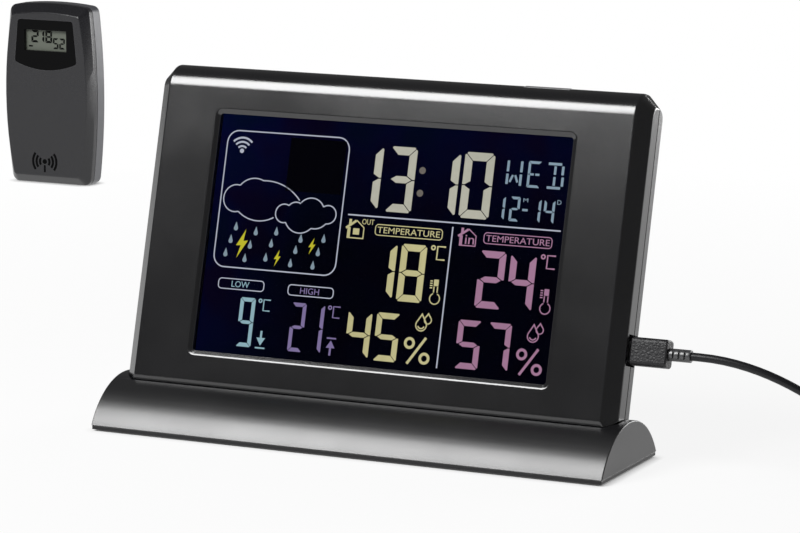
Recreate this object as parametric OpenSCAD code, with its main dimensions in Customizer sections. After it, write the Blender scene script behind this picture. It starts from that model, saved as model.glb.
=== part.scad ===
/* [Console] */
// Width of the console across its ends
console_w = 199; // [194:1:210]
// Height of the console's top edge, measured up its leaning front face from the desk
console_top = 139; // [135:1:146]
// Height of the console's underside, measured the same way
console_seat = 15.5; // [14.5:0.5:16]
// Thickness of the console from front face to back face
console_t = 20; // [19.5:0.5:23]
// Backward lean of the console in degrees
console_lean = 15.4; // [13:0.2:17]
// How far the foot of the front face lies in front of the base's middle
console_set = 13.2; // [12:0.2:14.2]
// Chamfer around both ends
end_chamfer = 5; // [3:0.5:5.5]
// Radius of the rounded lower edges
lower_round = 5; // [3:0.5:6]
// Radius of the rounded top edges
top_round = 9; // [7:0.5:9.5]
// Wall of both housings
wall = 2; // [1.6:0.1:2.2]
// Depth of the parting line behind the front face
parting = 11; // [10.6:0.2:12]
// Width of the groove that shows at the parting line
seam = 0.5; // [0.3:0.1:0.8]
// Thickness of the rear housing's locating lip
lip_t = 0.9; // [0.7:0.1:1]
// Depth of the locating lip
lip_h = 1.8; // [1.2:0.2:2]

/* [Screen] */
// Width of the window at the front face
window_w = 146.6; // [138:0.2:148]
// Height of the window at the front face
window_h = 92.9; // [88:0.1:94]
// Height of the window's lower edge, measured up the front face
window_v = 29.3; // [28.6:0.1:31]
// Bevel of the window's edge, across
window_bevel = 1.6; // [1:0.1:1.8]
// Bevel of the window's edge, in depth
window_bevel_d = 0.9; // [0.6:0.1:1.4]
// Radius of the window's corners at the front face
window_round = 2.8; // [2.2:0.1:4]
// How far the lens and the display reach past the window
display_margin = 3; // [2.6:0.1:3.6]
// Thickness of the clear lens
lens_t = 1.2; // [1:0.1:1.5]
// Thickness of the foam gasket
gasket_t = 0.6; // [0.4:0.1:0.8]
// Thickness of the display glass
lcd_t = 2.5; // [2.2:0.1:2.8]
// Thickness of the light guide
guide_t = 2.5; // [2:0.1:2.8]
// Thickness of the reflector sheet
reflector_t = 0.3; // [0.2:0.1:0.4]
// Wall of the frame that holds the display
frame_wall = 1.4; // [1.2:0.1:1.6]

/* [Base] */
// How far the base reaches past each end of the console
base_margin = 3.4; // [2.8:0.1:5]
// Depth of the base from front to back
base_d = 52.8; // [52:0.2:60]
// Height of the base at the top of its dome
base_h = 18.2; // [18:0.1:19]
// Height of the dome's lower rim
base_rim = 2; // [1.8:0.1:2.4]
// Wall of the dome
base_wall = 2.2; // [1.8:0.1:2.6]
// Gap around the console in the base's pocket
pocket_gap = 0.5; // [0.4:0.1:0.7]
// Thickness of the non-slip mat
mat_t = 0.6; // [0.4:0.1:0.8]
// Length of the locating lug under the console
lug_l = 120; // [90:1:140]
// Depth of the locating lug below the console's underside
lug_h = 6; // [4:0.5:6]
// Thickness of the locating lug
lug_t = 3.4; // [2.6:0.1:3.6]

/* [Controls] */
// Length of the top button
button_l = 18; // [12:0.5:22]
// Width of the top button
button_d = 2.8; // [2.2:0.1:3]
// Distance of the top button from the console's middle
button_u = 57; // [40:0.5:60]
// How far the top button stands proud
button_proud = 0.2; // [0.1:0.1:1.2]
// Radius of a rear key
key_r = 3.5; // [3:0.1:4]
// Spacing of the rear keys
key_pitch = 14; // [13:0.5:16]
// How far a rear key stands proud
key_proud = 1; // [0.6:0.1:1.5]
// Travel of the button and the keys
press_travel = 0.5; // [0.3:0.1:0.6]
// Gap around moving pieces
slide_gap = 0.3; // [0.25:0.05:0.4]

/* [Batteries] */
// Radius of a battery cell
cell_r = 5.25; // [5.1:0.05:5.3]
// Length of a battery cell with its button
cell_l = 44.5; // [44:0.1:45]
// Spacing of the cells
cell_pitch = 11.2; // [11:0.1:11.6]
// Room for the contacts at each end of the cells
contact_room = 3; // [2.6:0.1:3.6]
// Thickness of the battery doors
door_t = 1.6; // [1.4:0.1:2]

/* [Lead] */
// Length of the plug body
plug_l = 14; // [13:0.5:18]
// Broad side of the plug body
plug_h = 10.2; // [9.8:0.1:10.6]
// Thin side of the plug body
plug_t = 7; // [6.4:0.1:7.4]
// Height of the plug, measured up the front face
plug_v = 46.4; // [44:0.2:52]
// Depth of the recess around the plug
recess_depth = 2.5; // [2:0.1:3]
// Length of the strain relief
relief_l = 8.3; // [6:0.1:10]
// Radius of the strain relief
relief_r = 2.3; // [2.1:0.1:2.6]
// Radius of the cable
cable_r = 1.5; // [1.4:0.05:1.6]

/* [Remote sensor] */
// Width of the sensor at its middle
sensor_w = 53; // [51:0.5:60]
// Width of the sensor at its top and bottom
sensor_neck = 47; // [46:0.5:50]
// Height of the sensor
sensor_h = 96; // [95:0.5:104]
// Depth of the sensor
sensor_d = 19; // [18.8:0.2:23]
// Depth of the sensor's parting line
sensor_parting = 8.6; // [8:0.2:9.6]
// Bevel of the sensor's front, across
sensor_bevel = 4.5; // [3.5:0.1:5]
// Bevel of the sensor's front, in depth
sensor_bevel_d = 5.2; // [4:0.2:6]
// Extra bulge of the sensor's front face at its sides
sensor_bulge = 2.5; // [0:0.1:3]
// Radius of the sensor's outer corners
sensor_round = 4; // [2:0.5:5]
// Radius of the hole for hanging the sensor
hang_r = 2.5; // [2:0.1:3]
// Sideways place of the sensor
sensor_x = -423; // [-500:1:-190]
// Place of the sensor behind the base's middle
sensor_y = 486; // [100:1:560]

/* [Hidden] */
$fn = 64;
eps = 0.01;
far = 400;

// Overshoot of a cut past the surface that it leaves
over = 1;

// A chamfer on a face that is set in by d grows or shrinks by this share of d
chamfer_share = 2 - sqrt(2);

// Gaps of a fixed fit, of a screw in its pilot hole, and of a screw and its head in a clear hole
fit = 0.1;
screw_fit = 0.05;
screw_pass = 0.2;
head_pass = 0.3;

// Room between inner pieces that stay apart, skin left under pilot holes, and their spare depth
inner_gap = 0.6;
pilot_skin = 0.6;
pilot_spare = 0.5;
pilot_floor = 0.2;

// Console levels, from the front face backwards
half_w = console_w / 2;
lens_at = wall;
gasket_at = lens_at + lens_t;
lcd_at = gasket_at + gasket_t;
guide_at = lcd_at + lcd_t;
reflector_at = guide_at + guide_t;
frame_lip_at = reflector_at + reflector_t;
frame_lip = 1.2;
frame_back = frame_lip_at + frame_lip;
board_head = 1.2;
board_clear = 0.5;
board_at = frame_back + board_head + board_clear;
board_t = 1.6;
board_back = board_at + board_t;
rear_inner = console_t - wall;

// Window and display outlines
win_w = window_w - 2 * window_bevel;
win_lo = window_v + window_bevel;
win_hi = window_v + window_h - window_bevel;
lcd_w = win_w + 2 * display_margin;
lcd_lo = win_lo - display_margin;
lcd_hi = win_hi + display_margin;
frame_w = lcd_w + 2 * (fit + frame_wall);
frame_lo = lcd_lo - fit - frame_wall;
frame_hi = lcd_hi + fit + frame_wall;
frame_ledge = 2;
guide_over = 0.6;
guide_w = win_w + 2 * guide_over;

// Backlight and the strip that joins the display to the board
led_t = 1.2;
led_l = 4;
led_count = 3;
led_levels = [for (k = [1:led_count]) win_lo + k * (win_hi - win_lo) / (led_count + 1)];
strip_h = 2;
strip_inset = 5;

// Ears of the display frame and the bosses that they sit on
ear_r = 2.8;
ear_u = frame_w / 2 + ear_r;
ear_t = 1.6;
ear_share = 0.22;
ear_rise = ear_share * (win_hi - win_lo);
ear_places = [for (side = [-1, 1], level = [win_lo + ear_rise, win_hi - ear_rise]) [side * ear_u, level]];
ear_at = frame_back - ear_t;

// Screws: shank radius, head radius, head height
small_screw = [1, 1.9, board_head];
case_screw = [1.3, 2.6, 1.8];
boss_r = 3;
post_r = 4;
boss_inset = 11.5;
boss_u = half_w - boss_inset;
boss_drop = 13;
boss_mid_drop = 8;
boss_mid = (plug_v + plug_h / 2 + console_top) / 2 - boss_mid_drop;
boss_levels = [window_v, boss_mid, console_top - boss_drop];
boss_places = [for (side = [-1, 1], level = boss_levels) [side * boss_u, level]];
head_depth = 4;
head_seat = console_t - head_depth;
screw_skin = 3;
case_screw_end = wall + screw_skin;

// Battery bay in the rear housing
cell_count = 3;
cell_gap = 0.25;
bay_wall = 1.5;
bay_lift = 0.5;
bay_play = 0.6;
bay_lo = window_v + bay_lift;
bay_hi = bay_lo + cell_count * cell_pitch + bay_play;
bay_w = cell_l + 2 * contact_room;
bay_floor_t = 1.2;
bay_floor = frame_back + inner_gap + bay_floor_t;
cell_axis = bay_floor + cell_gap + cell_r;
cell_levels = [for (k = [0:cell_count - 1]) bay_lo + bay_play / 2 + (k + 0.5) * cell_pitch];

// Poles of the cells and the contacts that meet them
pole_r = 1.9;
pole_l = 1;
contact_t = 0.4;
contact_inset = 0.5;
contact_d = 2 * (cell_r - contact_inset);
nub_r = 2.6;
nub_l = contact_room - contact_t - fit;

// Battery door, the rails that it slides in, and its grip bars
door_clear = 0.35;
door_at = cell_axis + cell_r + door_clear;
door_back = door_at + door_t;
door_flange = 2;
door_flange_t = 0.8;
door_over = 1.6;
door_half = bay_w / 2 + door_over;
rail_wall = 2;
rail_half = door_half + slide_gap + rail_wall;
grip_count = 4;
grip_w = 16;
grip_bar = 1;
grip_proud = 0.6;
grip_pitch = 2;
grip_drop = 10;
grip_levels = [for (k = [0:grip_count - 1]) bay_hi - grip_drop + grip_pitch * k];

// Main board and the posts that carry it
board_rise = 2;
board_drop = 6;
board_lo = bay_hi + bay_wall + board_rise;
board_hi = console_top - board_drop;
board_w = 144;
board_edge = 6;
board_places = [for (side = [-1, 1], level = [board_lo + board_edge, board_hi - board_edge])
    [side * (board_w / 2 - board_edge), level]];
board_post_r = 2.5;

// Pieces on the main board
chip_rise = 16;
chip_r = 7;
chip_t = 1.6;
radio_u = -30;
radio_w = 16;
radio_h = 20;
radio_t = 2.4;
antenna_r = 0.5;
antenna_l = 110;
antenna_drop = 2;
climate_w = 12;
climate_t = 3;
buzzer_u = 50;
buzzer_place = [buzzer_u, board_lo + chip_rise];
buzzer_r = 8;

// Vents over the climate sensor, and sound holes over the buzzer
vent_count = 4;
vent_rise = 8;
vent_pitch = 4;
vent_levels = [for (k = [0:vent_count - 1]) board_lo + vent_rise + vent_pitch * k];
vent_u = -50;
vent_l = 14;
vent_h = 1.6;
sound_r = 0.8;
sound_ring = 3.6;
sound_count = 6;
sound_turns = [for (k = [0:sound_count - 1]) 360 * k / sound_count];
sound_places = concat([buzzer_place], [for (a = sound_turns) buzzer_place + sound_ring * [cos(a), sin(a)]]);

// Rear keys
key_count = 5;
key_drop = 24;
key_v = console_top - key_drop;
key_places = [for (k = [0:key_count - 1]) [(k - (key_count - 1) / 2) * key_pitch, key_v]];
key_flange = 0.7;
key_flange_over = 1.2;
key_flange_r = key_r + key_flange_over;
key_base = rear_inner - slide_gap - key_flange;
press_gap = press_travel + fit;
switch_side = 6;
stem_h = 0.6;
stem_r = 1.7;

// Top button
button_lip_gap = 0.5;
button_w_mid = parting - lip_h - button_lip_gap - slide_gap - button_d / 2;
button_flange = 1;
button_flange_over = 1;
button_flange_back = 0.6;
button_top = console_top + button_proud;
inner_round = top_round - wall;
button_front_run = max(0, top_round - button_w_mid + button_d / 2);
round_drop = inner_round - sqrt(pow(inner_round, 2) - pow(button_front_run, 2));
button_base = console_top - wall - round_drop - slide_gap - button_flange;
top_switch_h = 4;
top_switch_front = 1.8;
plunger_h = 1;
plunger_r = 1.2;

// Socket for the lead, and the board that carries it
usb_w = console_t / 2;
recess_floor = half_w - recess_depth;
recess_wall = 1.4;
recess_gap = 0.6;
recess_root = 0.5;
socket_l = 5.6;
socket_h = 7.8;
socket_t = 2.9;
socket_set = 0.2;
socket_front = recess_floor - socket_set;
socket_slot = 10;
shell_h = 6.85;
shell_t = 1.8;
shell_gap = 0.15;
shell_in = 4.6;
shell_spare = 0.4;
shell_wall = 0.3;
shell_hollow = 0.8;
tongue_t = 0.5;
tongue_h = 3.6;
tongue_l = 4.2;
plug_stand = 0.6;
plug_face = half_w + plug_stand;
plug_round = 1.6;
usb_board_at = usb_w + socket_t / 2;
usb_board_right = recess_floor - recess_wall - inner_gap;
usb_board_w = 14;
usb_board_h = 24;
usb_post_edge = 3;
usb_post_u = usb_board_right - usb_board_w + usb_post_edge;
usb_post_run = usb_board_h / 2 - usb_post_edge;
usb_places = [for (side = [-1, 1]) [usb_post_u, plug_v + side * usb_post_run]];

// Base
base_l = console_w + 2 * base_margin;
dome_sag = base_h - base_rim;
dome_r = (pow(base_d / 2, 2) + pow(dome_sag, 2)) / (2 * dome_sag);
dome_z = base_h - dome_r;
dome_fn = 128;
inner_rim = 0.4;
plate_gap = 0.3;
plate_t = base_rim - mat_t;
floor_gap = 0.2;
floor_t = 2;
foot_rise = 25;
lug_set = 0.2;
lug_w_mid = parting + seam / 2 + lug_set + lug_t / 2;
lug_wall = 2;
base_boss_r = 3.2;
base_screw_edge = [9, 7.6];
base_screw_x = base_l / 2 - base_screw_edge[0];
base_screw_y = base_d / 2 - base_screw_edge[1];
base_screw_places = [for (x = [-1, 1], y = [-1, 1]) [x * base_screw_x, y * base_screw_y]];
base_head_set = 0.4;
base_head_at = mat_t - base_head_set;
base_head = 1;
base_head_r = 2.6;
base_screw_l = 5;
mat_inset = 4.8;
mat_end_gap = 2;
mat_half = base_screw_x - base_head_r - mat_end_gap;

// Strain relief's notches
notch_count = 3;
notch_w = 0.9;
notch_deep = 0.8;
notch_from = 1.6;
notch_pitch = 2.2;
notch_side = 0.8;
notch_places = [for (k = [0:notch_count - 1]) notch_from + notch_pitch * k];

// Lead: start at the strain relief
cable_start = [
    plug_face + plug_l + relief_l,
    -console_set + plug_v * sin(console_lean) + usb_w * cos(console_lean),
    plug_v * cos(console_lean) - usb_w * sin(console_lean)
];

// Coil of the length that is put away
cable_d = 2 * cable_r;
tie_t = 0.8;
tie_w = 5;
coil_gap = 0.4;
coil_mid_r = 16.5;
coil_pitch = 4.2;
coil_step = 3.6;
coil_layers = 4;
layer_angle = 495;
climb_angle = 180;
layer_cycle = layer_angle + climb_angle;
coil_span = coil_pitch * layer_angle / 360;
coil_out = coil_mid_r + coil_span / 2;
coil_in = coil_mid_r - coil_span / 2;
coil_x = 172;
coil_y = 70;
coil_z = cable_r + tie_t + coil_gap;
coil_angle = coil_layers * layer_angle + (coil_layers - 1) * climb_angle;
coil_rings = 24;
coil_sides = 6;
tube_sides = 8;
run_steps = 12;

// Far plug
far_plug_h = 8;
far_plug_w = 15.6;
far_plug_l = 20;
far_shell_w = 12;
far_shell_h = 4.5;
far_shell_l = 12;
far_shell_wall = 0.4;
far_insert_t = 1.9;
far_insert_set = 1;

// Free stretches of the lead: how far each one holds its heading at its ends
lead_reach = 45;
lead_land = 40;
tail_ease = 16;
tail_run = 46;
tail_x = coil_x + coil_out;
tail_z = coil_z + (coil_layers - 1) * coil_step;
far_y = coil_y + tail_run;
far_z = far_plug_h / 2;
coil_entry = [coil_x + coil_out, coil_y - cable_d, coil_z];
coil_exit = [tail_x, coil_y + cable_d, tail_z];
cable_from = cable_start + [cable_d, 0, 0];
cable_to = coil_entry - [0, 1.5 * cable_d, 0];
tail_from = coil_exit + [0, cable_d, 0];
tail_end = [tail_x, far_y, far_z];
tail_to = tail_end - [0, cable_d, 0];

// Remote sensor's shells
sensor_wall = 2;
sensor_steps = 12;
sensor_crown = 1.6;
sensor_least_round = 0.8;
corner_steps = 8;
sensor_seam = 0.3;
sensor_lip_t = 0.9;
sensor_lip_h = 1.4;
sensor_rear_bevel = 3;
sensor_rear_bevel_d = 3;
sensor_cavity_back = sensor_d - sensor_wall;
sensor_screw_inset = 5.2;
sensor_screw_lift = 10;
sensor_screw_drop = 8;
sensor_screw_skin = 1.5;
sensor_screw_end = sensor_wall + sensor_screw_skin + pilot_spare;
sensor_screw_x = sensor_neck / 2 - sensor_screw_inset;
sensor_screw_levels = [sensor_screw_lift, sensor_h - sensor_screw_drop];
sensor_screw_places = [for (x = [-1, 1], z = sensor_screw_levels) [x * sensor_screw_x, z]];
sensor_head_depth = 3.4;
sensor_head_seat = sensor_d - sensor_head_depth;
hang_drop = 14;

// Remote sensor's window and display
pane_t = 1.2;
pane_top_drop = 8.6;
pane_side_drop = 31;
pane_low_drop = 35;
pane_top = sensor_h - pane_top_drop;
pane_side = sensor_h - pane_side_drop;
pane_low = sensor_h - pane_low_drop;
pane_top_w = 33;
pane_low_w = 37.4;
pane_steps = 12;
pane_round = 1.6;
sensor_lcd_w = 25.4;
sensor_lcd_h = 11;
sensor_lcd_t = 2;
sensor_lcd_rim = 1.5;
sensor_lcd_drop = 19.4;
sensor_lcd_lo = sensor_h - sensor_lcd_drop - sensor_lcd_h / 2;
sensor_lcd_hi = sensor_lcd_lo + sensor_lcd_h;
sensor_lcd_at = sensor_wall + fit;
sensor_strip_h = 1.6;
sensor_strip_inset = 3;

// Remote sensor's battery bay and door
sensor_bay_wall = 1.4;
sensor_bay_lo = 6.4;
sensor_bay_floor = 6.4;
sensor_bay_play = 0.8;
sensor_bay_w = 2 * cell_pitch + sensor_bay_play;
sensor_bay_hi = sensor_bay_lo + cell_l + 2 * contact_room;
sensor_cell_y = sensor_bay_floor + cell_gap + cell_r;
sensor_cell_z = sensor_bay_lo + contact_room + cell_l / 2;
sensor_contact_play = 1.2;
sensor_door_at = sensor_d - door_t;
sensor_door_over = 2.5;
sensor_door_foot = 0.6;
sensor_door_head = 2;
sensor_door_w = sensor_bay_w + 2 * sensor_door_over;
sensor_door_lo = sensor_bay_lo - sensor_door_foot;
sensor_door_hi = sensor_bay_hi + sensor_door_head;
sensor_seat_t = 1.6;
door_rim_t = 1;
door_rim_h = 0.8;
door_rim_inset = 5;

// Remote sensor's board and what it carries
sensor_board_at = 7;
sensor_board_w = 28;
sensor_board_t = 1.6;
sensor_board_gap = 1;
sensor_board_drop = 6;
sensor_board_lo = sensor_bay_hi + sensor_bay_wall + sensor_board_gap;
sensor_board_hi = sensor_h - sensor_board_drop;
sensor_board_back = sensor_board_at + sensor_board_t;
sensor_post_r = 2.4;
sensor_post_inset = 3.5;
sensor_post_edge = 4;
sensor_post_x = sensor_board_w / 2 - sensor_post_inset;
sensor_post_levels = [sensor_board_lo + sensor_post_edge, sensor_board_hi - sensor_post_edge];
probe_side = 6;
probe_t = 2;
probe_lift = 6.4;
probe_z = sensor_board_lo + probe_lift;
sensor_antenna_l = 14;
sensor_antenna_drop = 1.5;
sensor_vent_count = 3;
sensor_vent_w = 12;
sensor_vent_h = 1.4;
sensor_vent_pitch = 3.2;
sensor_vent_drop = 4;
sensor_vents = [for (k = [0:sensor_vent_count - 1]) probe_z - sensor_vent_drop + sensor_vent_pitch * k];

module in_console() {
    translate([0, -console_set, 0])
        rotate([-console_lean, 0, 0])
            children();
}

module in_sensor() {
    translate([sensor_x, sensor_y, 0])
        children();
}

// A slab between two depths, across everything else
module depth_slab(from, to) {
    translate([-far / 2, from, -far / 2])
        cube([far, to - from, far]);
}

// A box centred across, from a depth and a height
module plate(width, depth_from, depth, low, high) {
    translate([-width / 2, depth_from, low])
        cube([width, depth, high - low]);
}

// A round bar along the depth, at a place across and up
module bar(place, radius, from, to) {
    translate([place[0], to, place[1]])
        rotate([90, 0, 0])
            cylinder(r = radius, h = to - from);
}

// A rim with a hole: the outline less the same outline set in
module ring_plate(width, low, high, hole_w, hole_low, hole_high, from, depth) {
    difference() {
        plate(width, from, depth, low, high);
        plate(hole_w, from - eps, depth + 2 * eps, hole_low, hole_high);
    }
}

// The console's plan, with its chamfered ends, between two heights
module console_plan(inset, low, high) {
    hw = half_w - inset;
    c = end_chamfer - inset * chamfer_share;
    front = inset;
    back = console_t - inset;
    translate([0, 0, low])
        linear_extrude(high - low)
            polygon([[-hw, front + c], [-hw + c, front], [hw - c, front], [hw, front + c],
                [hw, back - c], [hw - c, back], [-hw + c, back], [-hw, back - c]]);
}

// The console's front outline, with its chamfered corners, between two depths
module console_front(inset, from, to) {
    hw = half_w - inset;
    c = end_chamfer - inset * chamfer_share;
    low = console_seat + inset;
    high = console_top - inset;
    translate([0, to, 0])
        rotate([90, 0, 0])
            linear_extrude(to - from)
                polygon([[-hw + c, low], [hw - c, low], [hw, low + c], [hw, high - c],
                    [hw - c, high], [-hw + c, high], [-hw, high - c], [-hw, low + c]]);
}

// A rounded top edge that narrows to a cone over the chamfer at each end
module console_edge(inset, depth) {
    hw = half_w - inset;
    c = end_chamfer - inset * chamfer_share;
    r = top_round - inset;
    translate([-hw, depth, console_top - top_round])
        rotate([90, 0, 90])
            rotate_extrude()
                polygon([[0, 0], [r - c, 0], [r, c], [r, 2 * hw - c], [r - c, 2 * hw], [0, 2 * hw]]);
}

// What the rounding of the lower edges takes off
module lower_edges(inset) {
    r = lower_round - inset;
    low = console_seat + inset;
    for (side = [-1, 1])
        translate([-far / 2, console_t / 2, 0])
            rotate([90, 0, 90])
                linear_extrude(far)
                    translate([side * (console_t / 2 - inset - r), low + r])
                        difference() {
                            translate([side < 0 ? -r - over : 0, -r - over])
                                square(r + over);
                            circle(r);
                        }
}

// The console's whole outside, set in by a wall, or set out by a gap where inset is negative
module console_block(inset) {
    difference() {
        union() {
            intersection() {
                console_plan(inset, console_seat - far / 4, console_top - top_round);
                console_front(inset, inset, console_t - inset);
            }
            console_front(inset, top_round, console_t - top_round);
            console_edge(inset, top_round);
            console_edge(inset, console_t - top_round);
        }
        lower_edges(inset);
    }
}

// The console's foot alone, for the pocket in the base
module console_foot(inset) {
    difference() {
        intersection() {
            console_plan(inset, console_seat - far / 4, console_seat + foot_rise);
            console_front(inset, inset, console_t - inset);
        }
        lower_edges(inset);
    }
}

// What the window takes off, with its bevelled edge and its round corners
module window_cut() {
    grow = over * window_bevel / window_bevel_d;
    inner = window_round - window_bevel;
    hull()
        at_window_corners()
            cylinder(r1 = window_round + grow, r2 = inner, h = window_bevel_d + over);
    hull()
        at_window_corners()
            cylinder(r = inner, h = wall + 2 * over);
}

module at_window_corners() {
    for (x = [-1, 1], z = [-1, 1])
        translate([x * (window_w / 2 - window_round), -over,
            window_v + window_h / 2 + z * (window_h / 2 - window_round)])
            rotate([-90, 0, 0])
                children();
}

// Walls of the recess around the plug, with a gap around them, and the recess itself
module recess_walls(gap) {
    h = plug_h / 2 + recess_gap + recess_wall + gap;
    t = plug_t / 2 + recess_gap + recess_wall + gap;
    translate([recess_floor - recess_wall, usb_w - t, plug_v - h])
        cube([half_w - wall + recess_root - recess_floor + recess_wall, 2 * t, 2 * h]);
}

module recess_cut() {
    h = plug_h / 2 + recess_gap;
    t = plug_t / 2 + recess_gap;
    translate([recess_floor, usb_w - t, plug_v - h])
        cube([far, 2 * t, 2 * h]);
    translate([recess_floor - socket_slot, usb_w - socket_t / 2 - fit, plug_v - socket_h / 2 - fit])
        cube([2 * socket_slot, socket_t + 2 * fit, socket_h + 2 * fit]);
}

module front_housing() {
    color([0.2, 0.2, 0.21])
        in_console()
            difference() {
                union() {
                    difference() {
                        intersection() {
                            console_block(0);
                            depth_slab(-over, parting - seam / 2);
                        }
                        console_block(wall);
                        intersection() {
                            console_block(wall - lip_t - fit);
                            depth_slab(parting - lip_h - fit, parting);
                        }
                    }
                    intersection() {
                        recess_walls(0);
                        depth_slab(0, parting - seam / 2);
                    }
                    for (place = boss_places)
                        bar(place, boss_r, wall - eps, parting - seam / 2);
                    for (place = ear_places)
                        bar(place, ear_r, wall - eps, ear_at);
                }
                window_cut();
                recess_cut();
                for (place = boss_places)
                    bar(place, case_screw[0] + screw_fit, case_screw_end - pilot_spare, parting);
                for (place = ear_places)
                    bar(place, small_screw[0] + screw_fit, wall + pilot_skin, parting);
                translate([button_u - button_l / 2 - slide_gap, button_w_mid - button_d / 2 - slide_gap,
                    console_top - 2 * wall])
                    cube([button_l + 2 * slide_gap, button_d + 2 * slide_gap, 3 * wall]);
            }
}

// Rails, walls and floor of the battery bay
module bay_block() {
    bay_front = bay_floor - bay_floor_t;
    low = bay_lo - bay_wall;
    high = bay_hi + bay_wall;
    lip_from = door_at + door_flange_t + slide_gap;
    lip_in = door_half - door_flange + slide_gap;
    plate(bay_w + 2 * bay_wall, bay_front, rear_inner + over - bay_front, low, high);
    plate(2 * rail_half, rear_inner, door_at - slide_gap - rear_inner, low, high);
    for (side = [-1, 1])
        translate([side * (rail_half - rail_wall / 2), 0, 0])
            plate(rail_wall, rear_inner, door_back - rear_inner, low, high);
    plate(2 * rail_half, rear_inner, door_back - rear_inner, low - bay_wall, low + eps);
    for (side = [-1, 1])
        translate([side * (lip_in + rail_half) / 2, 0, 0])
            plate(rail_half - lip_in, lip_from, door_back - lip_from, low, high);
}

module rear_housing() {
    color([0.45, 0.45, 0.46])
        in_console()
            difference() {
                union() {
                    difference() {
                        intersection() {
                            console_block(0);
                            depth_slab(parting + seam / 2, console_t + over);
                        }
                        console_block(wall);
                    }
                    difference() {
                        intersection() {
                            console_block(wall - lip_t);
                            depth_slab(parting - lip_h, parting + seam / 2 + over);
                        }
                        console_block(wall);
                        recess_walls(fit);
                    }
                    intersection() {
                        recess_walls(0);
                        depth_slab(parting + seam / 2, console_t);
                    }
                    for (place = boss_places)
                        bar(place, post_r, parting, rear_inner + eps);
                    for (place = board_places)
                        bar(place, board_post_r, board_back, rear_inner + eps);
                    for (place = usb_places)
                        bar(place, board_post_r, usb_board_at + board_t, rear_inner + eps);
                    bay_block();
                    translate([0, lug_w_mid - lug_t / 2, 0])
                        plate(lug_l, 0, lug_t, console_seat - lug_h, console_seat + wall);
                }
                recess_cut();
                plate(bay_w, bay_floor, console_t, bay_lo, bay_hi);
                for (place = boss_places) {
                    bar(place, case_screw[0] + head_pass, parting - over, console_t + over);
                    bar(place, case_screw[1] + head_pass, head_seat, console_t + over);
                }
                for (place = board_places)
                    bar(place, small_screw[0] + screw_fit, board_back - over, rear_inner - pilot_floor);
                for (place = usb_places)
                    bar(place, small_screw[0] + screw_fit, usb_board_at, rear_inner - pilot_floor);
                for (place = key_places)
                    bar(place, key_r + slide_gap, rear_inner - over, console_t + over);
                for (place = sound_places)
                    bar(place, sound_r, rear_inner - over, console_t + over);
                for (level = vent_levels)
                    translate([vent_u, 0, 0])
                        plate(vent_l, rear_inner - over, wall + 2 * over, level, level + vent_h);
            }
}

// A pan-head screw along the depth: head at the seat, shank towards the front
module screw_forward(place, size, seat, tip) {
    bar(place, size[1], seat, seat + size[2]);
    bar(place, size[0], tip, seat + eps);
}

// The same with its head in front and its shank towards the back
module screw_backward(place, size, seat, tip) {
    bar(place, size[1], seat - size[2], seat);
    bar(place, size[0], seat - eps, tip);
}

module housing_screws() {
    color("dimgray")
        in_console()
            for (place = boss_places)
                screw_forward(place, case_screw, head_seat, case_screw_end);
}

module battery_door() {
    inner = door_half - door_flange;
    low = bay_lo - bay_wall + slide_gap;
    high = bay_hi + bay_wall;
    color([0.45, 0.45, 0.46])
        in_console() {
            plate(2 * door_half, door_at, door_flange_t, low, high);
            plate(2 * inner, door_at, door_t, low, high);
            for (level = grip_levels)
                plate(grip_w, door_back - eps, grip_proud, level, level + grip_bar);
        }
}

module display_lens() {
    color([0.8, 0.85, 0.9, 0.3])
        in_console()
            plate(lcd_w, lens_at, lens_t, lcd_lo, lcd_hi);
}

module lens_gasket() {
    color([0.08, 0.08, 0.08])
        in_console()
            ring_plate(lcd_w, lcd_lo, lcd_hi, win_w + guide_over,
                win_lo - guide_over / 2, win_hi + guide_over / 2, gasket_at, gasket_t);
}

module lcd_panel() {
    color([0.05, 0.05, 0.1])
        in_console()
            plate(lcd_w, lcd_at, lcd_t, lcd_lo, lcd_hi);
}

module light_guide() {
    color([0.85, 0.9, 0.95])
        in_console()
            plate(guide_w, guide_at, guide_t, win_lo - guide_over, win_hi + guide_over / 2);
}

module reflector_sheet() {
    color("white")
        in_console()
            plate(guide_w, reflector_at, reflector_t, win_lo - guide_over, win_hi + guide_over / 2);
}

module backlight_leds() {
    color([0.95, 0.95, 0.8])
        in_console()
            for (level = led_levels)
                translate([-guide_w / 2 - led_t / 2 - fit, 0, 0])
                    plate(led_t, guide_at, guide_t - fit, level - led_l / 2, level + led_l / 2);
}

module lcd_frame() {
    color([0.85, 0.85, 0.83])
        in_console()
            difference() {
                union() {
                    ring_plate(frame_w, frame_lo, frame_hi, lcd_w + 2 * fit, lcd_lo - fit, lcd_hi + fit,
                        lens_at + fit, frame_back - lens_at - fit);
                    difference() {
                        plate(frame_w, frame_lip_at, frame_lip, frame_lo, win_hi + guide_over / 2);
                        plate(win_w - 2 * frame_ledge, frame_lip_at - eps, frame_lip + 2 * eps, win_lo,
                            win_hi + over);
                    }
                    for (place = ear_places)
                        bar(place, ear_r, ear_at, frame_back);
                    for (place = ear_places)
                        translate([place[0] - sign(place[0]) * ear_r / 2, 0, 0])
                            plate(ear_r, ear_at, ear_t, place[1] - ear_r, place[1] + ear_r);
                }
                for (place = ear_places)
                    bar(place, small_screw[0] + screw_pass, ear_at - over, frame_back + over);
            }
}

module frame_screws() {
    color("silver")
        in_console()
            for (place = ear_places)
                screw_forward(place, small_screw, frame_back, wall + pilot_skin + pilot_spare);
}

module contact_strip() {
    color([0.7, 0.7, 0.75])
        in_console()
            plate(lcd_w - 2 * strip_inset, guide_at, board_at - guide_at, win_hi + inner_gap,
                win_hi + inner_gap + strip_h);
}

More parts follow.
